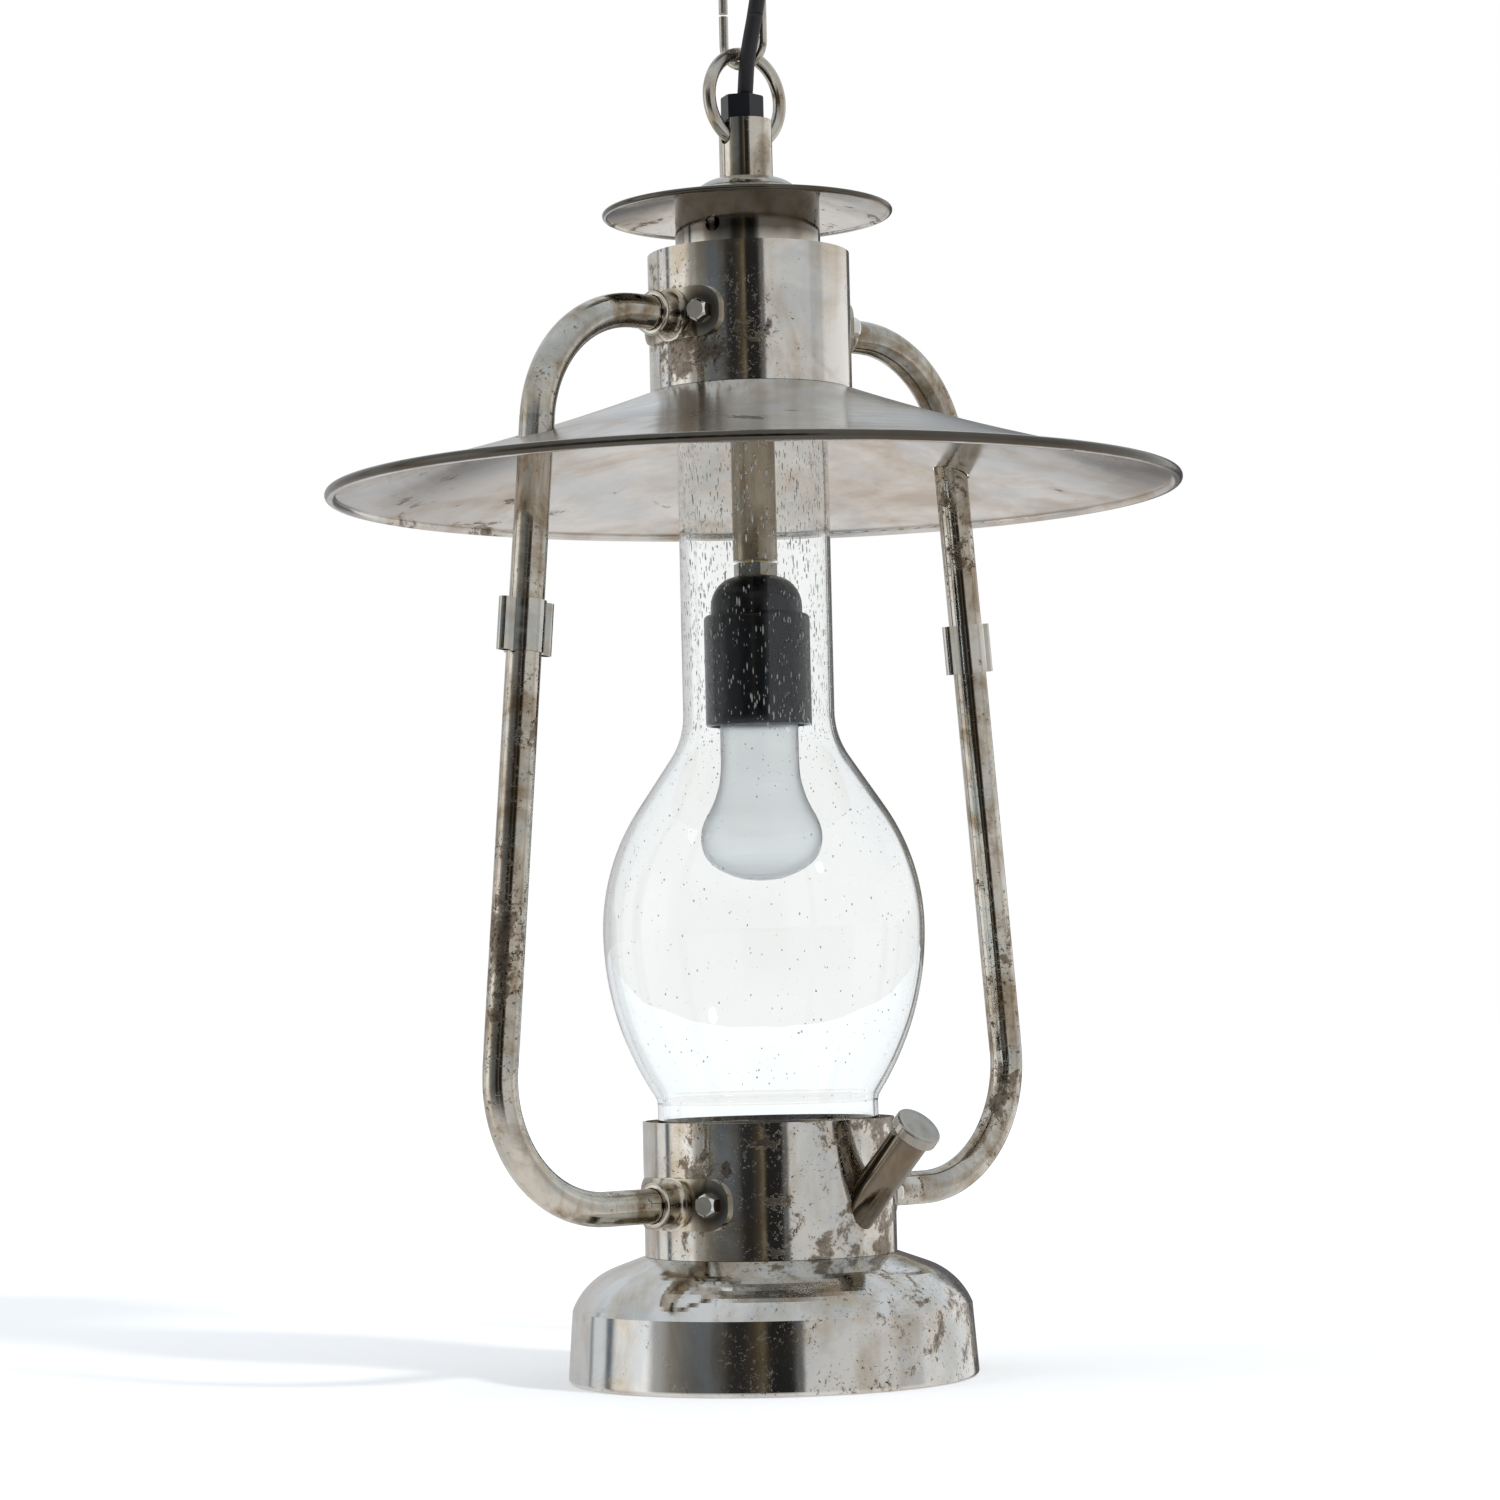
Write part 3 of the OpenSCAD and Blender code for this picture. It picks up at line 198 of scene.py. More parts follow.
class Shader:
    """A material or world whose nodes are made by short calls."""

    def __init__(self, owner):
        owner.use_nodes = True
        self.owner = owner
        self.tree = owner.node_tree
        self.tree.nodes.clear()

    def node(self, kind, values=(), **settings):
        made = self.tree.nodes.new(kind)
        for key, value in settings.items():
            setattr(made, key, value)
        for key, value in dict(values).items():
            if isinstance(value, bpy.types.NodeSocket):
                self.tree.links.new(value, made.inputs[key])
            else:
                made.inputs[key].default_value = value
        return made

    def math(self, operation, a, b=0.0, clamp=False):
        return self.node("ShaderNodeMath", {0: a, 1: b}, operation=operation, use_clamp=clamp).outputs[0]

    def vector(self, operation, a, b=(0, 0, 0)):
        return self.node("ShaderNodeVectorMath", {0: a, 1: b}, operation=operation).outputs

    def ramp(self, factor, stops, smooth=False):
        made = self.node("ShaderNodeValToRGB", {0: factor})
        made.color_ramp.interpolation = "EASE" if smooth else "LINEAR"
        points = made.color_ramp.elements
        while len(points) < len(stops):
            points.new(1)
        for point, (place, shade) in zip(points, stops):
            point.position = place
            point.color = (*shade, 1) if isinstance(shade, tuple) else (shade, shade, shade, 1)
        return made.outputs[0]

    def mix(self, factor, a, b):
        made = self.node("ShaderNodeMix", data_type="RGBA")
        for index, value in ((0, factor), (6, a), (7, b)):
            if isinstance(value, bpy.types.NodeSocket):
                self.tree.links.new(value, made.inputs[index])
            else:
                made.inputs[index].default_value = (*value, 1) if isinstance(value, tuple) else value
        return made.outputs[2]

    def place(self):
        return self.node("ShaderNodeTexCoord").outputs["Object"]

    def noise(self, scale, detail=4.0, rough=0.5, twist=0.0, stretch=(1, 1, 1), shift=(0, 0, 0)):
        mapped = self.node("ShaderNodeMapping", {
            "Vector": self.place(), "Location": shift, "Scale": stretch,
        })
        return self.node("ShaderNodeTexNoise", {
            "Vector": mapped.outputs[0], "Scale": scale, "Detail": detail,
            "Roughness": rough, "Distortion": twist,
        }).outputs[0]

    def near(self, points, inner, outer):
        """1 within the inner distance of any of the points, falling to 0 at the outer one."""
        total = None
        for point in points:
            far = self.vector("DISTANCE", self.place(), point)["Value"]
            share = self.ramp(self.math("DIVIDE", far, outer), [(inner / outer, 1.0), (1.0, 0.0)])
            total = share if total is None else self.math("MAXIMUM", total, share)
        return total

    def bump(self, height, distance, strength=1.0, normal=None):
        values = {"Height": height, "Distance": distance, "Strength": strength}
        if normal is not None:
            values["Normal"] = normal
        return self.node("ShaderNodeBump", values).outputs[0]

    def surface(self, values):
        self.finish(self.node("ShaderNodeBsdfPrincipled", values).outputs[0])
        return self.owner

    def finish(self, output, kind="ShaderNodeOutputMaterial"):
        end = self.node(kind)
        self.tree.links.new(output, end.inputs["Surface"])


def middle(name):
    low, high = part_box(name)
    return tuple((a + b) / 2 for a, b in zip(low, high))


def bolt_places(node):
    """The middle of each of a node's four bolts, one in each quarter seen from above."""
    quarters = {}
    for vertex in nodes[node].data.vertices:
        quarters.setdefault((vertex.co.x > 0, vertex.co.y > 0), []).append(vertex.co)
    return [tuple(sum(corners, Vector()) / len(corners)) for corners in quarters.values()]


CLAMPS = [middle(f"{side}_{level}_flange") for side in ("left", "right") for level in ("upper", "lower")]
BOLTS = bolt_places("upper_bolts") + bolt_places("lower_bolts")
# Level way to the camera's right, where the plate is worn most
WORN_SIDE = (math.cos(CAMERA_TURN), math.sin(CAMERA_TURN), 0)
# Reach of the wear round a clamp and of the painted dark reflection round a bolt: full inside the first,
# none at the second
CLAMP_WEAR = (0.012, 0.034)
BOLT_PAINTED_DARK = (0.0062, 0.0115)

FLAKE_RIM = (0.4, 0.31, 0.2)
RUST = (0.19, 0.14, 0.09)
DARK_RUST = (0.065, 0.045, 0.03)
# Painted dark reflection round the bolts, where the flanges mirror dark
PAINTED_DARK_REFLECTION = (0.06, 0.05, 0.04)
# Painted shadow that the top cap casts on the vent tube
CAP_SHADOW_COLOUR = (0.065, 0.05, 0.035)
# Painted dark band on the rolled rims, standing for the dark they mirror
PAINTED_RIM_DARK = (0.05, 0.041, 0.029)


def plate_colour(s, light, tan, clouding, scale, shift):
    """Colour of the whole plate, with clouds and upright streaks of tan, and how stained it is."""
    cloud = s.noise(24 * scale, 7, 0.62, 0.9, shift=shift)
    streak = s.noise(75 * scale, 4, 0.55, 0.2, stretch=(1, 1, 0.14), shift=shift)
    cool = s.noise(36 * scale, 6, 0.66, 0.5, shift=tuple(v + 11 for v in shift))
    blend = s.math("ADD", s.math("MULTIPLY", cloud, 0.65), s.math("MULTIPLY", streak, 0.35))
    stain = s.ramp(blend, [(0.62 - 0.3 * clouding, 0.0), (0.78 - 0.3 * clouding, 1.0)])
    blue = tuple(v * k for v, k in zip(light, (0.74, 0.82, 0.9)))
    colour = s.mix(s.ramp(cool, [(0.48, 0.0), (0.62, 0.6)]), s.mix(stain, light, tan), blue)
    return colour, stain


def wear(s, patch, scale, shift, halo, lean):
    """How far each place is worn: patches within wide regions, more at the clamps and on one side."""
    region = s.noise(13 * scale, 2, 0.5, 0.3, shift=tuple(v + 7 for v in shift))
    reach = s.math("ADD", s.math("MULTIPLY", s.math("SUBTRACT", region, 0.5), 0.9), patch)
    if halo:
        reach = s.math("ADD", reach, s.math("MULTIPLY", s.near(CLAMPS, *CLAMP_WEAR), halo))
    if lean:
        across = s.vector("DOT_PRODUCT", s.place(), WORN_SIDE)["Value"]
        reach = s.math("ADD", reach, s.math("MULTIPLY", across, lean))
    return reach


def add_marks(s, colour, reach, flaking, pitting, shift):
    """Brown flakes with a stained rim and fine pits round them, and where these marks are."""
    edge = 0.78 - 0.3 * flaking
    flake = s.ramp(reach, [(edge, 0.0), (edge + 0.012, 0.75), (edge + 0.06, 1.0)])
    rim = s.ramp(reach, [(edge - 0.05, 0.0), (edge - 0.005, 1.0), (edge + 0.03, 0.0)])
    speck = s.noise(640, 3, 0.72, 0.3, shift=shift)
    pit_edge = 0.74 - 0.16 * pitting
    pits = s.ramp(speck, [(pit_edge, 0.0), (pit_edge + 0.03, 1.0)])
    pitted = s.ramp(reach, [(edge - 0.22, 0.0), (edge - 0.02, 1.0)])
    marks = s.math("MAXIMUM", s.math("MULTIPLY", flake, 0.85), s.math("MULTIPLY", pits, pitted))
    rust = s.mix(s.ramp(speck, [(0.4, 0.0), (0.62, 1.0)]), RUST, DARK_RUST)
    colour = s.mix(s.math("MULTIPLY", rim, 0.35), colour, FLAKE_RIM)
    return s.mix(marks, colour, rust), marks


def past(s, value, limit, patch, blur, width, stops):
    """Share that the ramp's stops give over a width past a limit, with the patches blurring it."""
    over = s.math("ADD", s.math("SUBTRACT", value, limit), s.math("MULTIPLY", patch, blur))
    return s.ramp(s.math("MULTIPLY", over, 1 / width), stops)


def nickel(
    name, light, tan, clouding=0.5, flaking=0.3, pitting=0.3, rough=0.06, seed=0.0, scale=1.0,
    dents=0.3, halo=0.0, lean=0.0, painted_dark_round=(), painted_shadow_above=None, painted_dark_beyond=None,
):
    """Worn nickel plate: mirror-like, clouded with tan, with brown flakes and fine dark pits.

    The halo adds flakes round the clamps and the lean adds them on one side. Round the given points
    the plate is painted with a dark reflection; above a height it is painted with a cast shadow, and
    beyond a radius with a dark band that stands for a mirrored one.
    """
    s = Shader(bpy.data.materials.new(name))
    shift = (seed, seed * 0.7, -seed * 0.4)
    patch = s.noise(80 * scale, 5, 0.68, 0.25, shift=tuple(v + 3 for v in shift))
    colour, stain = plate_colour(s, light, tan, clouding, scale, shift)
    reach = wear(s, patch, scale, shift, halo, lean)
    colour, marks = add_marks(s, colour, reach, flaking, pitting, shift)
    # Round the given points the plate is painted with a dark reflection
    if painted_dark_round:
        colour = s.mix(s.math("MULTIPLY", s.near(painted_dark_round, *BOLT_PAINTED_DARK), 0.85), colour, PAINTED_DARK_REFLECTION)
    # Above the given height the plate is painted with a cast shadow, as under the top cap
    if painted_shadow_above is not None:
        height = s.node("ShaderNodeSeparateXYZ", {0: s.place()}).outputs[2]
        dark = past(s, height, painted_shadow_above, patch, 0.004, 0.01, [(0.2, 0.0), (0.7, 0.85)])
        colour = s.mix(dark, colour, CAP_SHADOW_COLOUR)
    # Beyond the given radius the plate is painted with a dark band, a painted reflection
    if painted_dark_beyond is not None:
        flat = s.vector("MULTIPLY", s.place(), (1, 1, 0))[0]
        far = s.vector("LENGTH", flat)["Value"]
        dark = past(s, far, painted_dark_beyond, patch, 0.0006, 0.002, [(0.1, 0.0), (0.35, 0.92)])
        colour = s.mix(dark, colour, PAINTED_RIM_DARK)

    roughness = s.math("ADD", s.math("MULTIPLY", stain, 0.09), rough)
    roughness = s.math("ADD", roughness, s.math("MULTIPLY", marks, 0.3), clamp=True)
    normal = s.bump(s.noise(48 * scale, 2, 0.4, shift=shift), 0.0006, dents)
    normal = s.bump(s.noise(1500, 2, 0.6, shift=shift), 0.00002, 0.4, normal)
    normal = s.bump(marks, 0.00005, 0.6, normal)
    return s.surface({
        "Base Color": colour, "Metallic": 1.0, "Roughness": roughness, "Normal": normal, "IOR": 1.5,
    })


def plain_metal(name, colour, rough, seed=0.0):
    """Bare turned or cut metal, a little cloudy."""
    s = Shader(bpy.data.materials.new(name))
    cloud = s.noise(120, 5, 0.6, shift=(seed, 0, 0))
    darker = tuple(0.62 * v for v in colour)
    return s.surface({
        "Base Color": s.mix(s.ramp(cloud, [(0.35, 0.0), (0.7, 1.0)]), colour, darker),
        "Metallic": 1.0,
        "Roughness": s.math("ADD", s.math("MULTIPLY", cloud, 0.2), rough),
        "Normal": s.bump(s.noise(900, 3), 0.00003, 0.5),
    })


def moulded(name, colour, rough, level=0.5):
    """Moulded plastic or porcelain, with a fine grain."""
    s = Shader(bpy.data.materials.new(name))
    cloud = s.noise(45, 4)
    lighter = tuple(min(1.5 * v + 0.002, 1) for v in colour)
    return s.surface({
        "Base Color": s.mix(cloud, colour, lighter),
        "Roughness": s.math("ADD", s.math("MULTIPLY", cloud, 0.14), rough),
        "Specular IOR Level": level,
        "Normal": s.bump(s.noise(600, 3), 0.00003, 0.12),
    })


def sheath(name, colour):
    """Cable sheath: matt, with faint lines along it."""
    s = Shader(bpy.data.materials.new(name))
    lines = s.noise(900, 2, 0.5, stretch=(1, 1, 0.04))
    return s.surface({
        "Base Color": s.mix(lines, colour, tuple(1.7 * v for v in colour)),
        "Roughness": s.math("ADD", s.math("MULTIPLY", lines, 0.15), 0.42),
        "Specular IOR Level": 0.35,
        "Normal": s.bump(lines, 0.00005, 0.5),
    })


GLASS_IOR = 1.47


def clear_glass(name):
    """Blown glass, faintly uneven, with its mirrored light held back."""
    s = Shader(bpy.data.materials.new(name))
    waves = s.noise(26, 2, 0.4, 0.4, stretch=(1, 1, 0.5))
    return s.surface({
        "Base Color": (0.955, 0.965, 0.96, 1), "Roughness": 0.0, "IOR": GLASS_IOR,
        "Specular Tint": (0.55, 0.57, 0.6, 1), "Transmission Weight": 1.0,
        "Normal": s.bump(waves, 0.0005, 0.25),
    })


def seed_glass(name):
    """The wall of an air bubble inside the glass, faintly milky."""
    s = Shader(bpy.data.materials.new(name))
    return s.surface({
        "Base Color": s.mix(s.noise(500, 2), (0.9, 0.92, 0.92), (1.0, 1.0, 1.0)),
        "Roughness": 0.08, "IOR": GLASS_IOR, "Transmission Weight": 0.7,
    })


def bulb_white(name):
    """Reflector bulb: frosted glass that the light behind it comes through, with a clear skin."""
    s = Shader(bpy.data.materials.new(name))
    cloud = s.noise(60, 3)
    return s.surface({
        "Base Color": s.mix(cloud, (0.92, 0.95, 0.96), (0.97, 0.985, 0.99)),
        "Roughness": 0.35, "IOR": 1.15, "Transmission Weight": 0.94,
        "Coat Weight": 0.5, "Coat Roughness": 0.04,
        "Normal": s.bump(s.noise(700, 2), 0.00002, 0.4),
    })


SILVER = (0.68, 0.66, 0.62)
TAN = (0.47, 0.405, 0.32)
# The outermost part of the rolled rims is painted dark, a painted reflection of the dark band such a
# roll mirrors, and the vent tube is painted with the top cap's shadow from just above the collar
SHADE_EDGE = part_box("shade")[1][0] - 0.0012
CAP_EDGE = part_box("top_cap")[1][0] - 0.0009
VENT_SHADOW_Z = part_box("upper_collar")[1][2] + 0.002

upper_nickel = nickel(
    "upper_nickel", SILVER, TAN, clouding=0.6, flaking=0.24, pitting=0.9, rough=0.05, seed=2.9,
    dents=0.16, halo=0.1, lean=0.8,
)
lower_nickel = nickel(
    "lower_nickel", SILVER, TAN, clouding=0.6, flaking=0.46, pitting=0.8, rough=0.045, seed=1.3,
    dents=0.16, halo=0.1, lean=2.0,
)
font_nickel = nickel(
    "font_nickel", (0.68, 0.665, 0.635), TAN, clouding=0.55, flaking=0.58, pitting=0.9, rough=0.05,
    seed=5.1, dents=0.2, lean=1.5,
)
# The vent tube is painted with the top cap's shadow above the collar
vent_nickel = nickel(
    "vent_nickel", (0.6, 0.57, 0.51), TAN, clouding=0.55, flaking=0.3, pitting=0.5, rough=0.06,
    seed=9.3, dents=0.16, painted_shadow_above=VENT_SHADOW_Z,
)
# The shade's and the cap's rolled rims are painted dark in their outermost part, a painted reflection
shade_nickel = nickel(
    "shade_nickel", (0.64, 0.62, 0.59), (0.47, 0.395, 0.32), clouding=0.55, flaking=0.26,
    pitting=0.3, rough=0.16, seed=2.2, scale=0.6, dents=0.2, painted_dark_beyond=SHADE_EDGE,
)
cap_nickel = nickel(
    "cap_nickel", (0.66, 0.64, 0.6), (0.45, 0.37, 0.28), clouding=0.55, flaking=0.34,
    pitting=0.5, rough=0.12, seed=2.6, scale=0.9, dents=0.2, painted_dark_beyond=CAP_EDGE,
)
tube_nickel = nickel(
    "tube_nickel", (0.6, 0.56, 0.49), (0.27, 0.21, 0.14), clouding=0.62, flaking=0.38,
    pitting=1.0, rough=0.045, seed=7.7, scale=1.6, dents=0.12,
)
small_nickel = nickel(
    "small_nickel", (0.5, 0.47, 0.41), (0.34, 0.28, 0.2), clouding=0.6, flaking=0.3,
    pitting=0.6, rough=0.09, seed=4.4, scale=2.0, dents=0.2,
)
spout_nickel = nickel(
    "spout_nickel", (0.21, 0.17, 0.125), (0.15, 0.11, 0.075), clouding=0.55, flaking=0.2,
    pitting=0.5, rough=0.06, seed=4.4, scale=2.0, dents=0.15,
)
filler_nickel = nickel(
    "filler_nickel", (0.38, 0.36, 0.32), (0.26, 0.22, 0.17), clouding=0.5, flaking=0.2,
    pitting=0.4, rough=0.12, seed=4.4, scale=2.0, dents=0.15,
)
# The flanges are painted with a dark reflection round their bolts
flange_nickel = nickel(
    "flange_nickel", (0.6, 0.56, 0.48), (0.4, 0.32, 0.22), clouding=0.6, flaking=0.2,
    pitting=0.5, rough=0.09, seed=4.9, scale=2.0, dents=0.2, painted_dark_round=BOLTS,
)
bolt_nickel = nickel(
    "bolt_nickel", (0.72, 0.7, 0.66), (0.5, 0.44, 0.35), clouding=0.3, flaking=0.1,
    pitting=0.2, rough=0.08, seed=3.7, scale=3.0, dents=0.2,
)
clip_nickel = nickel(
    "clip_nickel", (0.56, 0.54, 0.49), (0.42, 0.37, 0.29), clouding=0.4, flaking=0.15,
    pitting=0.3, rough=0.05, seed=3.1, scale=2.0, dents=0.25,
)
wire_nickel = nickel(
    "wire_nickel", (0.5, 0.47, 0.41), (0.34, 0.28, 0.2), clouding=0.5, flaking=0.3,
    pitting=0.6, rough=0.16, seed=6.1, scale=3.0, dents=0.2,
)
inner_nickel = nickel(
    "inner_nickel", (0.4, 0.35, 0.27), (0.28, 0.22, 0.15), clouding=0.6, flaking=0.5,
    pitting=0.7, rough=0.16, seed=8.1, scale=2.0, dents=0.2,
)
brass = plain_metal("turned_brass", (0.62, 0.49, 0.24), rough=0.2)
zinc = plain_metal("zinc_plate", (0.6, 0.61, 0.63), rough=0.3, seed=2.0)
black_moulding = moulded("black_moulding", (0.006, 0.007, 0.009), rough=0.14, level=0.3)
pale_moulding = moulded("pale_moulding", (0.8, 0.76, 0.68), rough=0.45)
cable_black = sheath("cable_black", (0.008, 0.008, 0.01))
lead_sheath = sheath("lead_brown", (0.16, 0.07, 0.03))
chimney_glass = clear_glass("chimney_glass")
bubble_glass = seed_glass("bubble_glass")
bulb_glass = bulb_white("bulb_white")

FINISHES = {
    upper_nickel: ["upper_collar"],
    lower_nickel: ["lower_collar"],
    font_nickel: ["font_shell", "base_plate", "canopy"],
    vent_nickel: ["vent_tube"],
    shade_nickel: ["shade"],
    cap_nickel: ["top_cap"],
    tube_nickel: [
        "left_upper_tube", "left_lower_tube", "right_upper_tube", "right_lower_tube", "stem_tube",
    ],
    small_nickel: ["holder_nut", "stem_flange"],
    spout_nickel: ["filler_spout"],
    filler_nickel: ["filler_cap"],
    flange_nickel: [
        "left_upper_flange", "right_upper_flange", "left_lower_flange", "right_lower_flange",
    ],
    bolt_nickel: ["upper_bolts", "lower_bolts", "upper_nuts", "lower_nuts"],
    clip_nickel: ["left_sleeve_clip", "right_sleeve_clip"],
    wire_nickel: ["chain_link_1", "chain_link_2", "hanging_ring", "canopy_loop"],
    inner_nickel: [
        "lamp_tube", "vent_bridge", "collar_top_plate", "collar_deck", "chimney_seat",
    ],
    brass: [
        "canopy_nipple", "canopy_nuts", "stem_nut", "tube_plug", "holder_nipple", "contact_sleeve",
        "bulb_screw_cap", "tube_spigots",
    ],
    zinc: ["mounting_bar"],
    black_moulding: ["canopy_gland", "cable_gland", "holder_cap", "holder_skirt"],
    pale_moulding: ["terminal_block", "holder_insert"],
    cable_black: ["cap_seal"],
    lead_sheath: ["canopy_leads", "lamp_leads"],
    chimney_glass: ["chimney"],
    bulb_glass: ["bulb_glass"],
}
for finish, names in FINISHES.items():
    for name in names:
        for slot in nodes[name].material_slots:
            slot.material = finish
for piece in cable:
    piece.data.materials.append(cable_black)


def lathe(name, profile, sides, finish, sharp=()):
    """A ring turned about the lamp's axis from a closed line of heights and radii.

    The edges round it are sharp at the given places of the line.
    """
    form = bmesh.new()
    rings = [
        [form.verts.new((r * math.cos(a), r * math.sin(a), z)) for a in angles(sides)]
        for z, r in profile
    ]
    for i, ring in enumerate(rings):
        add_band(form, rings[i - 1], ring)
    for i in sharp:
        for k, corner in enumerate(rings[i]):
            form.edges.get((rings[i][k - 1], corner)).smooth = False
    bmesh.ops.recalc_face_normals(form, faces=form.faces)
    piece = add_mesh(name, form)
    piece.data.materials.append(finish)
    return piece


def walls(node):
    """Points of height and radius up the outer and the inner wall of a turned node."""
    mesh = nodes[node].data
    outer, inner = {}, {}
    for face in mesh.polygons:
        facing = face.normal.x * face.center.x + face.normal.y * face.center.y
        # The level faces at the rims belong to neither wall
        if abs(face.normal.z) < 0.999:
            for index in face.vertices:
                x, y, z = mesh.vertices[index].co
                (outer if facing > 0 else inner)[round(z, 5)] = math.hypot(x, y)
    return [[Vector(point) for point in sorted(wall.items())] for wall in (outer, inner)]


def evened(points, reach):
    """The same line with its long straight stretches cut into shorter ones."""
    path = [points[0]]
    for here, there in zip(points, points[1:]):
        parts = max(1, round((there - here).length / reach))
        path += [here.lerp(there, k / parts) for k in range(1, parts + 1)]
    return path


OUTER_WALL, INNER_WALL = walls("chimney")
# The walls are cut into lengths of about this reach, and each length is drawn in steps
WALL_REACH = 0.006
WALL_STEPS = 3
CHIMNEY_SIDES = 120


def make_chimney():
    """The chimney turned again with finer rings, so that light bends evenly through it."""
    outer, inner = (
        smooth_path(evened(wall, WALL_REACH), WALL_STEPS) for wall in (OUTER_WALL, INNER_WALL)
    )
    top = len(outer)
    chimney = lathe(
        "blown_chimney", outer + inner[::-1], CHIMNEY_SIDES, chimney_glass, sharp=(0, top - 1, top, -1),
    )
    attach(chimney, "glass_chimney")
    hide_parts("chimney")


make_chimney()

# Diameters of the rolled rims, as in the part's source
SHADE_BEAD_D = 0.0044
CAP_BEAD_D = 0.0024
BEAD_TURNS = 240
BEAD_SIDES = 24


def make_bead(node, diameter, finish):
    """A sheet's rolled rim, turned finer than the sheet so that it mirrors evenly."""
    low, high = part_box(node)
    half = diameter / 2
    profile = [
        (low[2] + half * (1 + math.sin(b)), high[0] - half * (1 - math.cos(b)))
        for b in angles(BEAD_SIDES)
    ]
    bead = lathe(f"{node}_bead", profile, BEAD_TURNS, finish)
    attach(bead, "lamp")


make_bead("shade", SHADE_BEAD_D, shade_nickel)
make_bead("top_cap", CAP_BEAD_D, cap_nickel)


def radius_at(wall, z):
    for low, high in zip(wall, wall[1:]):
        if low[0] <= z <= high[0]:
            return low[1] + (high[1] - low[1]) * (z - low[0]) / (high[0] - low[0])
    return wall[-1][1]


# Bubbles: how many, their least radius and its spread, and how many times longer than wide
NECK_SEEDS = 2500
NECK_SEED_R = (0.00013, 0.00025)
NECK_SEED_STRETCH = (1.5, 6.5)
BULGE_SEEDS = 1000
BULGE_SEED_R = (0.00012, 0.0003)
BULGE_SEED_STRETCH = (1.0, 1.7)
NECK_FOOT = FOOT_Z + 0.255
LOWEST_SEED = OUTER_WALL[0][0] + 0.01
HIGHEST_SEED = OUTER_WALL[-1][0] - 0.004
# How deep a bubble lies under the glass's outer face
SEED_DEPTH = (0.0007, 0.0014)


def make_seeds():
    """Bubbles in the wall of the blown glass: long ones in the neck, round ones in the bulge."""
    draw = random.Random(11)
    ball = bmesh.new()
    bmesh.ops.create_icosphere(ball, subdivisions=1, radius=1)
    ball.verts.index_update()
    form = bmesh.new()
    for i in range(NECK_SEEDS + BULGE_SEEDS):
        if i < NECK_SEEDS:
            z = draw.uniform(NECK_FOOT, HIGHEST_SEED)
            (least, spread), stretch = NECK_SEED_R, NECK_SEED_STRETCH
        else:
            z = NECK_FOOT - (NECK_FOOT - LOWEST_SEED) * draw.uniform(0, 1) ** 1.5
            (least, spread), stretch = BULGE_SEED_R, BULGE_SEED_STRETCH
        size = least + spread * draw.uniform(0, 1) ** 2
        length = size * draw.uniform(*stretch)
        turn = draw.uniform(0, math.tau)
        r = radius_at(OUTER_WALL, z) - draw.uniform(*SEED_DEPTH)
        place = (
            Matrix.Translation((r * math.cos(turn), r * math.sin(turn), z))
            @ Matrix.Rotation(turn, 4, "Z") @ Matrix.Diagonal((size, size, length, 1))
        )
        corners = [form.verts.new(place @ vertex.co) for vertex in ball.verts]
        # The faces look inwards, because the glass lies outside the bubble
        for face in ball.faces:
            form.faces.new([corners[vertex.index] for vertex in reversed(face.verts)])
    ball.free()
    seeds = add_mesh("chimney_seeds", form)
    seeds.data.materials.append(bubble_glass)
    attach(seeds, "glass_chimney")


make_seeds()


def plain_sight(s):
    """1 for rays that come here from the camera directly or through glass alone, else 0."""
    paths = s.node("ShaderNodeLightPath").outputs
    seen = s.math("MAXIMUM", paths["Is Camera Ray"], paths["Is Transmission Ray"])
    bounces = s.math("ADD", paths["Glossy Depth"], paths["Diffuse Depth"])
    return s.math("MULTIPLY", seen, s.math("LESS_THAN", bounces, 0.5))


FLOOR_R = 9
FLOOR_GAP = 0.0004
FLOOR_COLOUR = (0.88, 0.88, 0.88, 1)
# Light that the floor adds where the camera sees it, so that it meets the white backdrop
FLOOR_LIFT = 0.2


def make_floor():
    """A pale floor at the lamp's foot that looks white to the camera and keeps the shadows."""
    form = bmesh.new()
    bmesh.ops.create_circle(form, cap_ends=True, segments=64, radius=FLOOR_R)
    floor = add_mesh("floor", form, smooth=False)
    floor.location = (0, 0, FOOT_Z - FLOOR_GAP)
    s = Shader(bpy.data.materials.new("floor"))
    diffuse = s.node("ShaderNodeBsdfDiffuse", {"Color": FLOOR_COLOUR}).outputs[0]
    glow = s.math("MULTIPLY", plain_sight(s), FLOOR_LIFT)
    white = s.node("ShaderNodeEmission", {"Color": (1, 1, 1, 1), "Strength": glow}).outputs[0]
    s.finish(s.node("ShaderNodeAddShader", {0: diffuse, 1: white}).outputs[0])
    floor.data.materials.append(s.owner)
    floor.visible_glossy = False


make_floor()

# Screens of the studio that the metal mirrors: degrees to the right of the camera, seen from above
SLATE = (0.15, 0.165, 0.18)
DUSK = (0.16, 0.195, 0.23)
STUDIO = [
    (-180, 0.55), (-128, 0.72), (-125, 0.3), (-122, 0.9), (-110, 0.95), (-108, DUSK), (-104, DUSK),
    (-102, 1.0), (-98, 1.25), (-76, 1.2), (-71, 0.5), (-66, 0.42), (-60, (0.25, 0.235, 0.2)),
    (-45, SLATE), (-37, SLATE), (-29, 0.11), (-24, 0.035), (-17, 0.03), (-9, (0.08, 0.065, 0.045)),
    (-6, (0.22, 0.18, 0.12)), (-3, 0.02), (11, 0.025), (13, 0.17), (16.5, 0.14), (18, 0.72), (72, 0.76),
    (76, 0.64), (90, 0.68), (95, 0.9), (150, 1.05), (153, 0.12), (180, 0.14),
]
SKY = (0.76, 0.81, 0.86)
GROUND = (0.92, 0.9, 0.89)
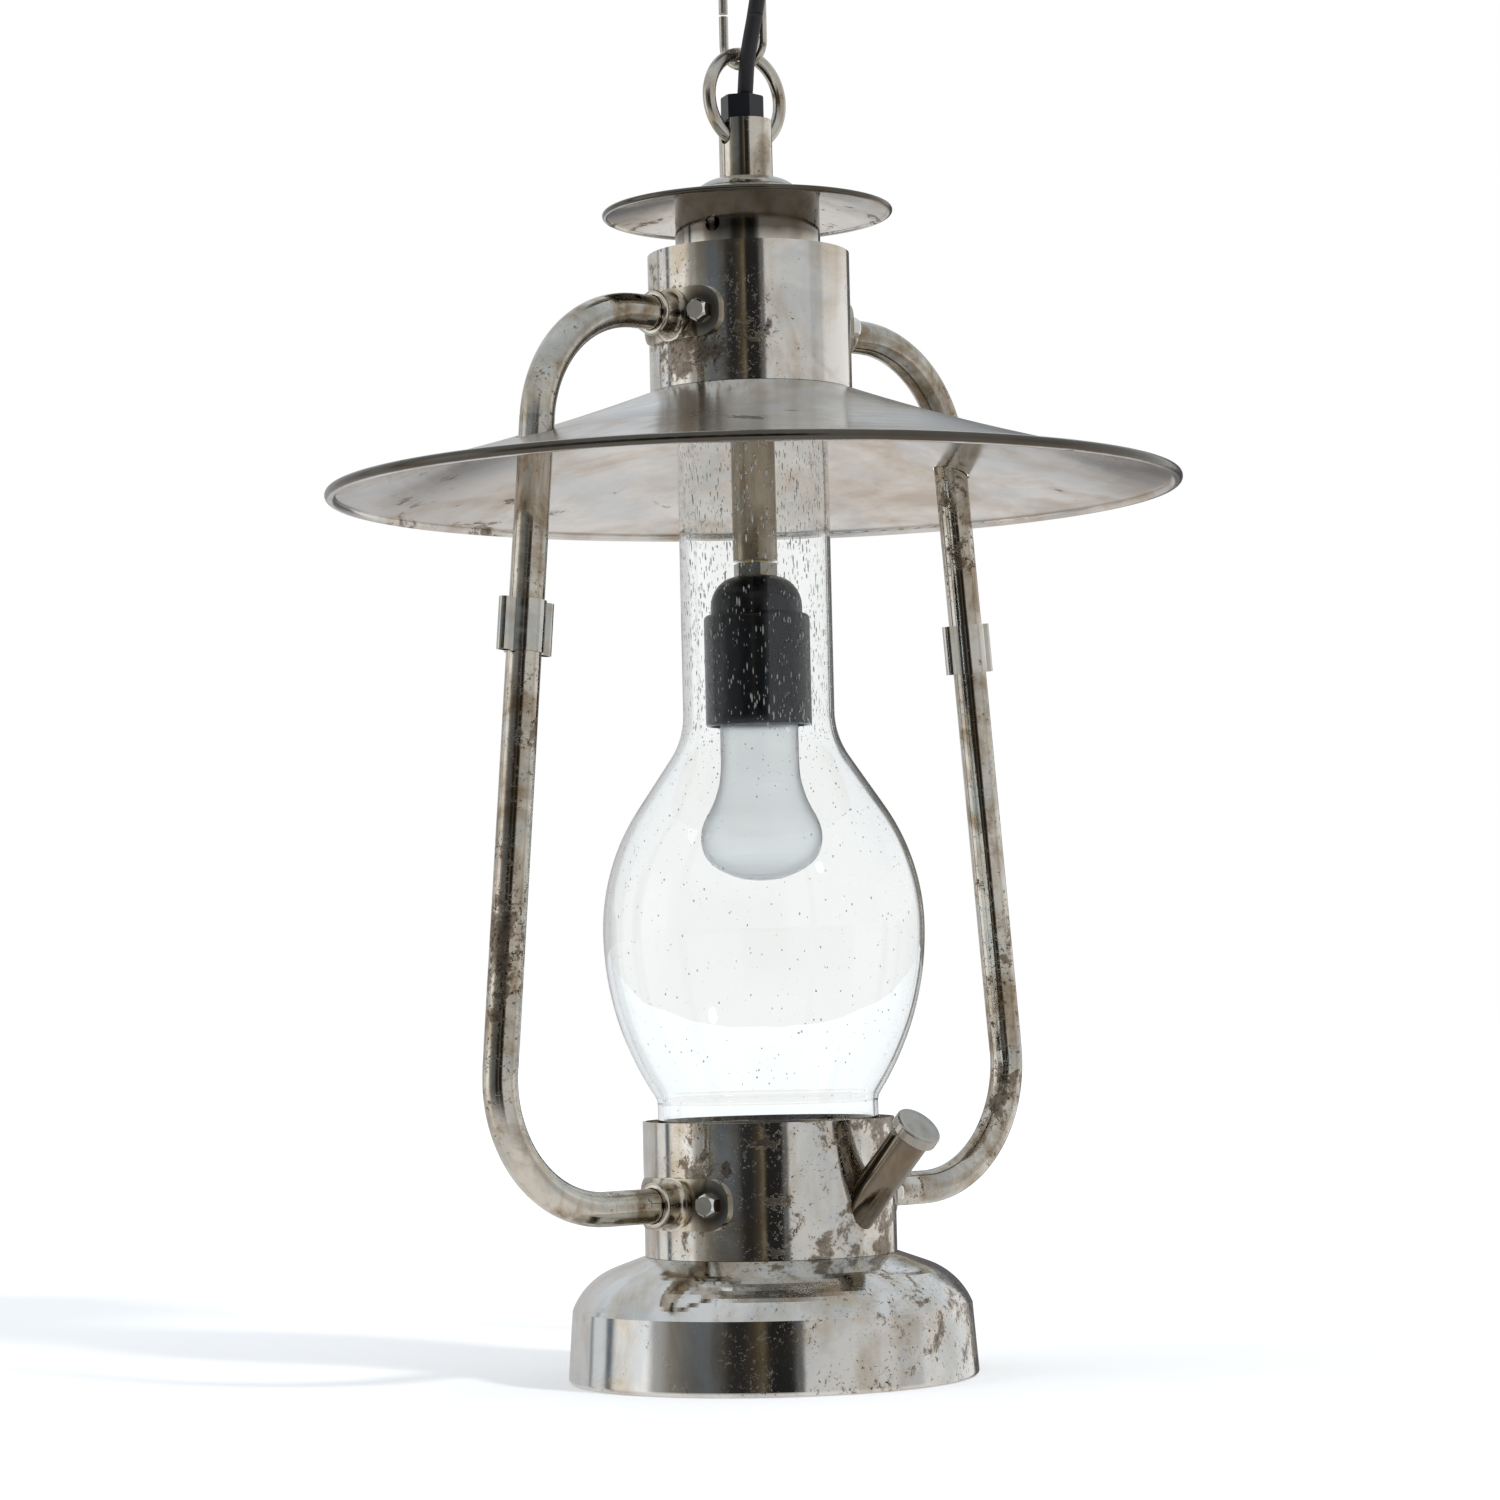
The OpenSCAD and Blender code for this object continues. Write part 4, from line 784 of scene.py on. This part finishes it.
# Where the sky and the ground begin and are full, as the sine of the angle from the level
SKY_REACH = (0.22, 0.45)
GROUND_REACH = (0.1, 0.55)


def make_world():
    world = bpy.data.worlds.new("studio")
    bpy.context.scene.world = world
    s = Shader(world)
    place = s.node("ShaderNodeTexCoord").outputs["Generated"]
    turned = s.node("ShaderNodeMapping", {
        "Vector": place, "Rotation": (0, 0, -CAMERA_TURN - math.radians(90)),
    }, vector_type="POINT")
    # After the turn the camera lies along -X, where the radial gradient wraps round
    around = s.node("ShaderNodeTexGradient", {"Vector": turned.outputs[0]}, gradient_type="RADIAL")
    level = s.math("FRACT", s.math("ADD", around.outputs["Fac"], 0.5))
    screens = s.ramp(level, [((degrees + 180) / 360, value) for degrees, value in STUDIO])
    height = s.node("ShaderNodeSeparateXYZ", {0: place}).outputs[2]
    high = s.ramp(height, list(zip(SKY_REACH, (0.0, 1.0))))
    low = s.ramp(s.math("MULTIPLY", height, -1.0), list(zip(GROUND_REACH, (0.0, 1.0))), smooth=True)
    studio = s.mix(low, s.mix(high, screens, SKY), GROUND)
    colour = s.mix(plain_sight(s), studio, (1.0, 1.0, 1.0))
    back = s.node("ShaderNodeBackground", {"Color": colour, "Strength": 1.0})
    s.finish(back.outputs[0], "ShaderNodeOutputWorld")


make_world()


def make_sun(name, turn, height, strength, spread):
    """A far lamp: turn is in degrees to the right of the camera, height above the level."""
    data = bpy.data.lights.new(name, "SUN")
    data.energy = strength
    data.angle = math.radians(spread)
    sun = bpy.data.objects.new(name, data)
    bpy.context.collection.objects.link(sun)
    around = math.radians(270 + turn) + CAMERA_TURN
    flat = math.cos(math.radians(height))
    source = Vector((flat * math.cos(around), flat * math.sin(around), math.sin(math.radians(height))))
    sun.rotation_euler = source.to_track_quat("Z", "Y").to_euler()
    # The lamps throw the shadows; the metal mirrors the studio's screens instead of them
    sun.visible_glossy = False


make_sun("key_light", turn=48, height=30, strength=1.5, spread=6)
make_sun("fill_light", turn=-70, height=50, strength=0.25, spread=20)

bpy.context.scene.view_settings.view_transform = "Standard"
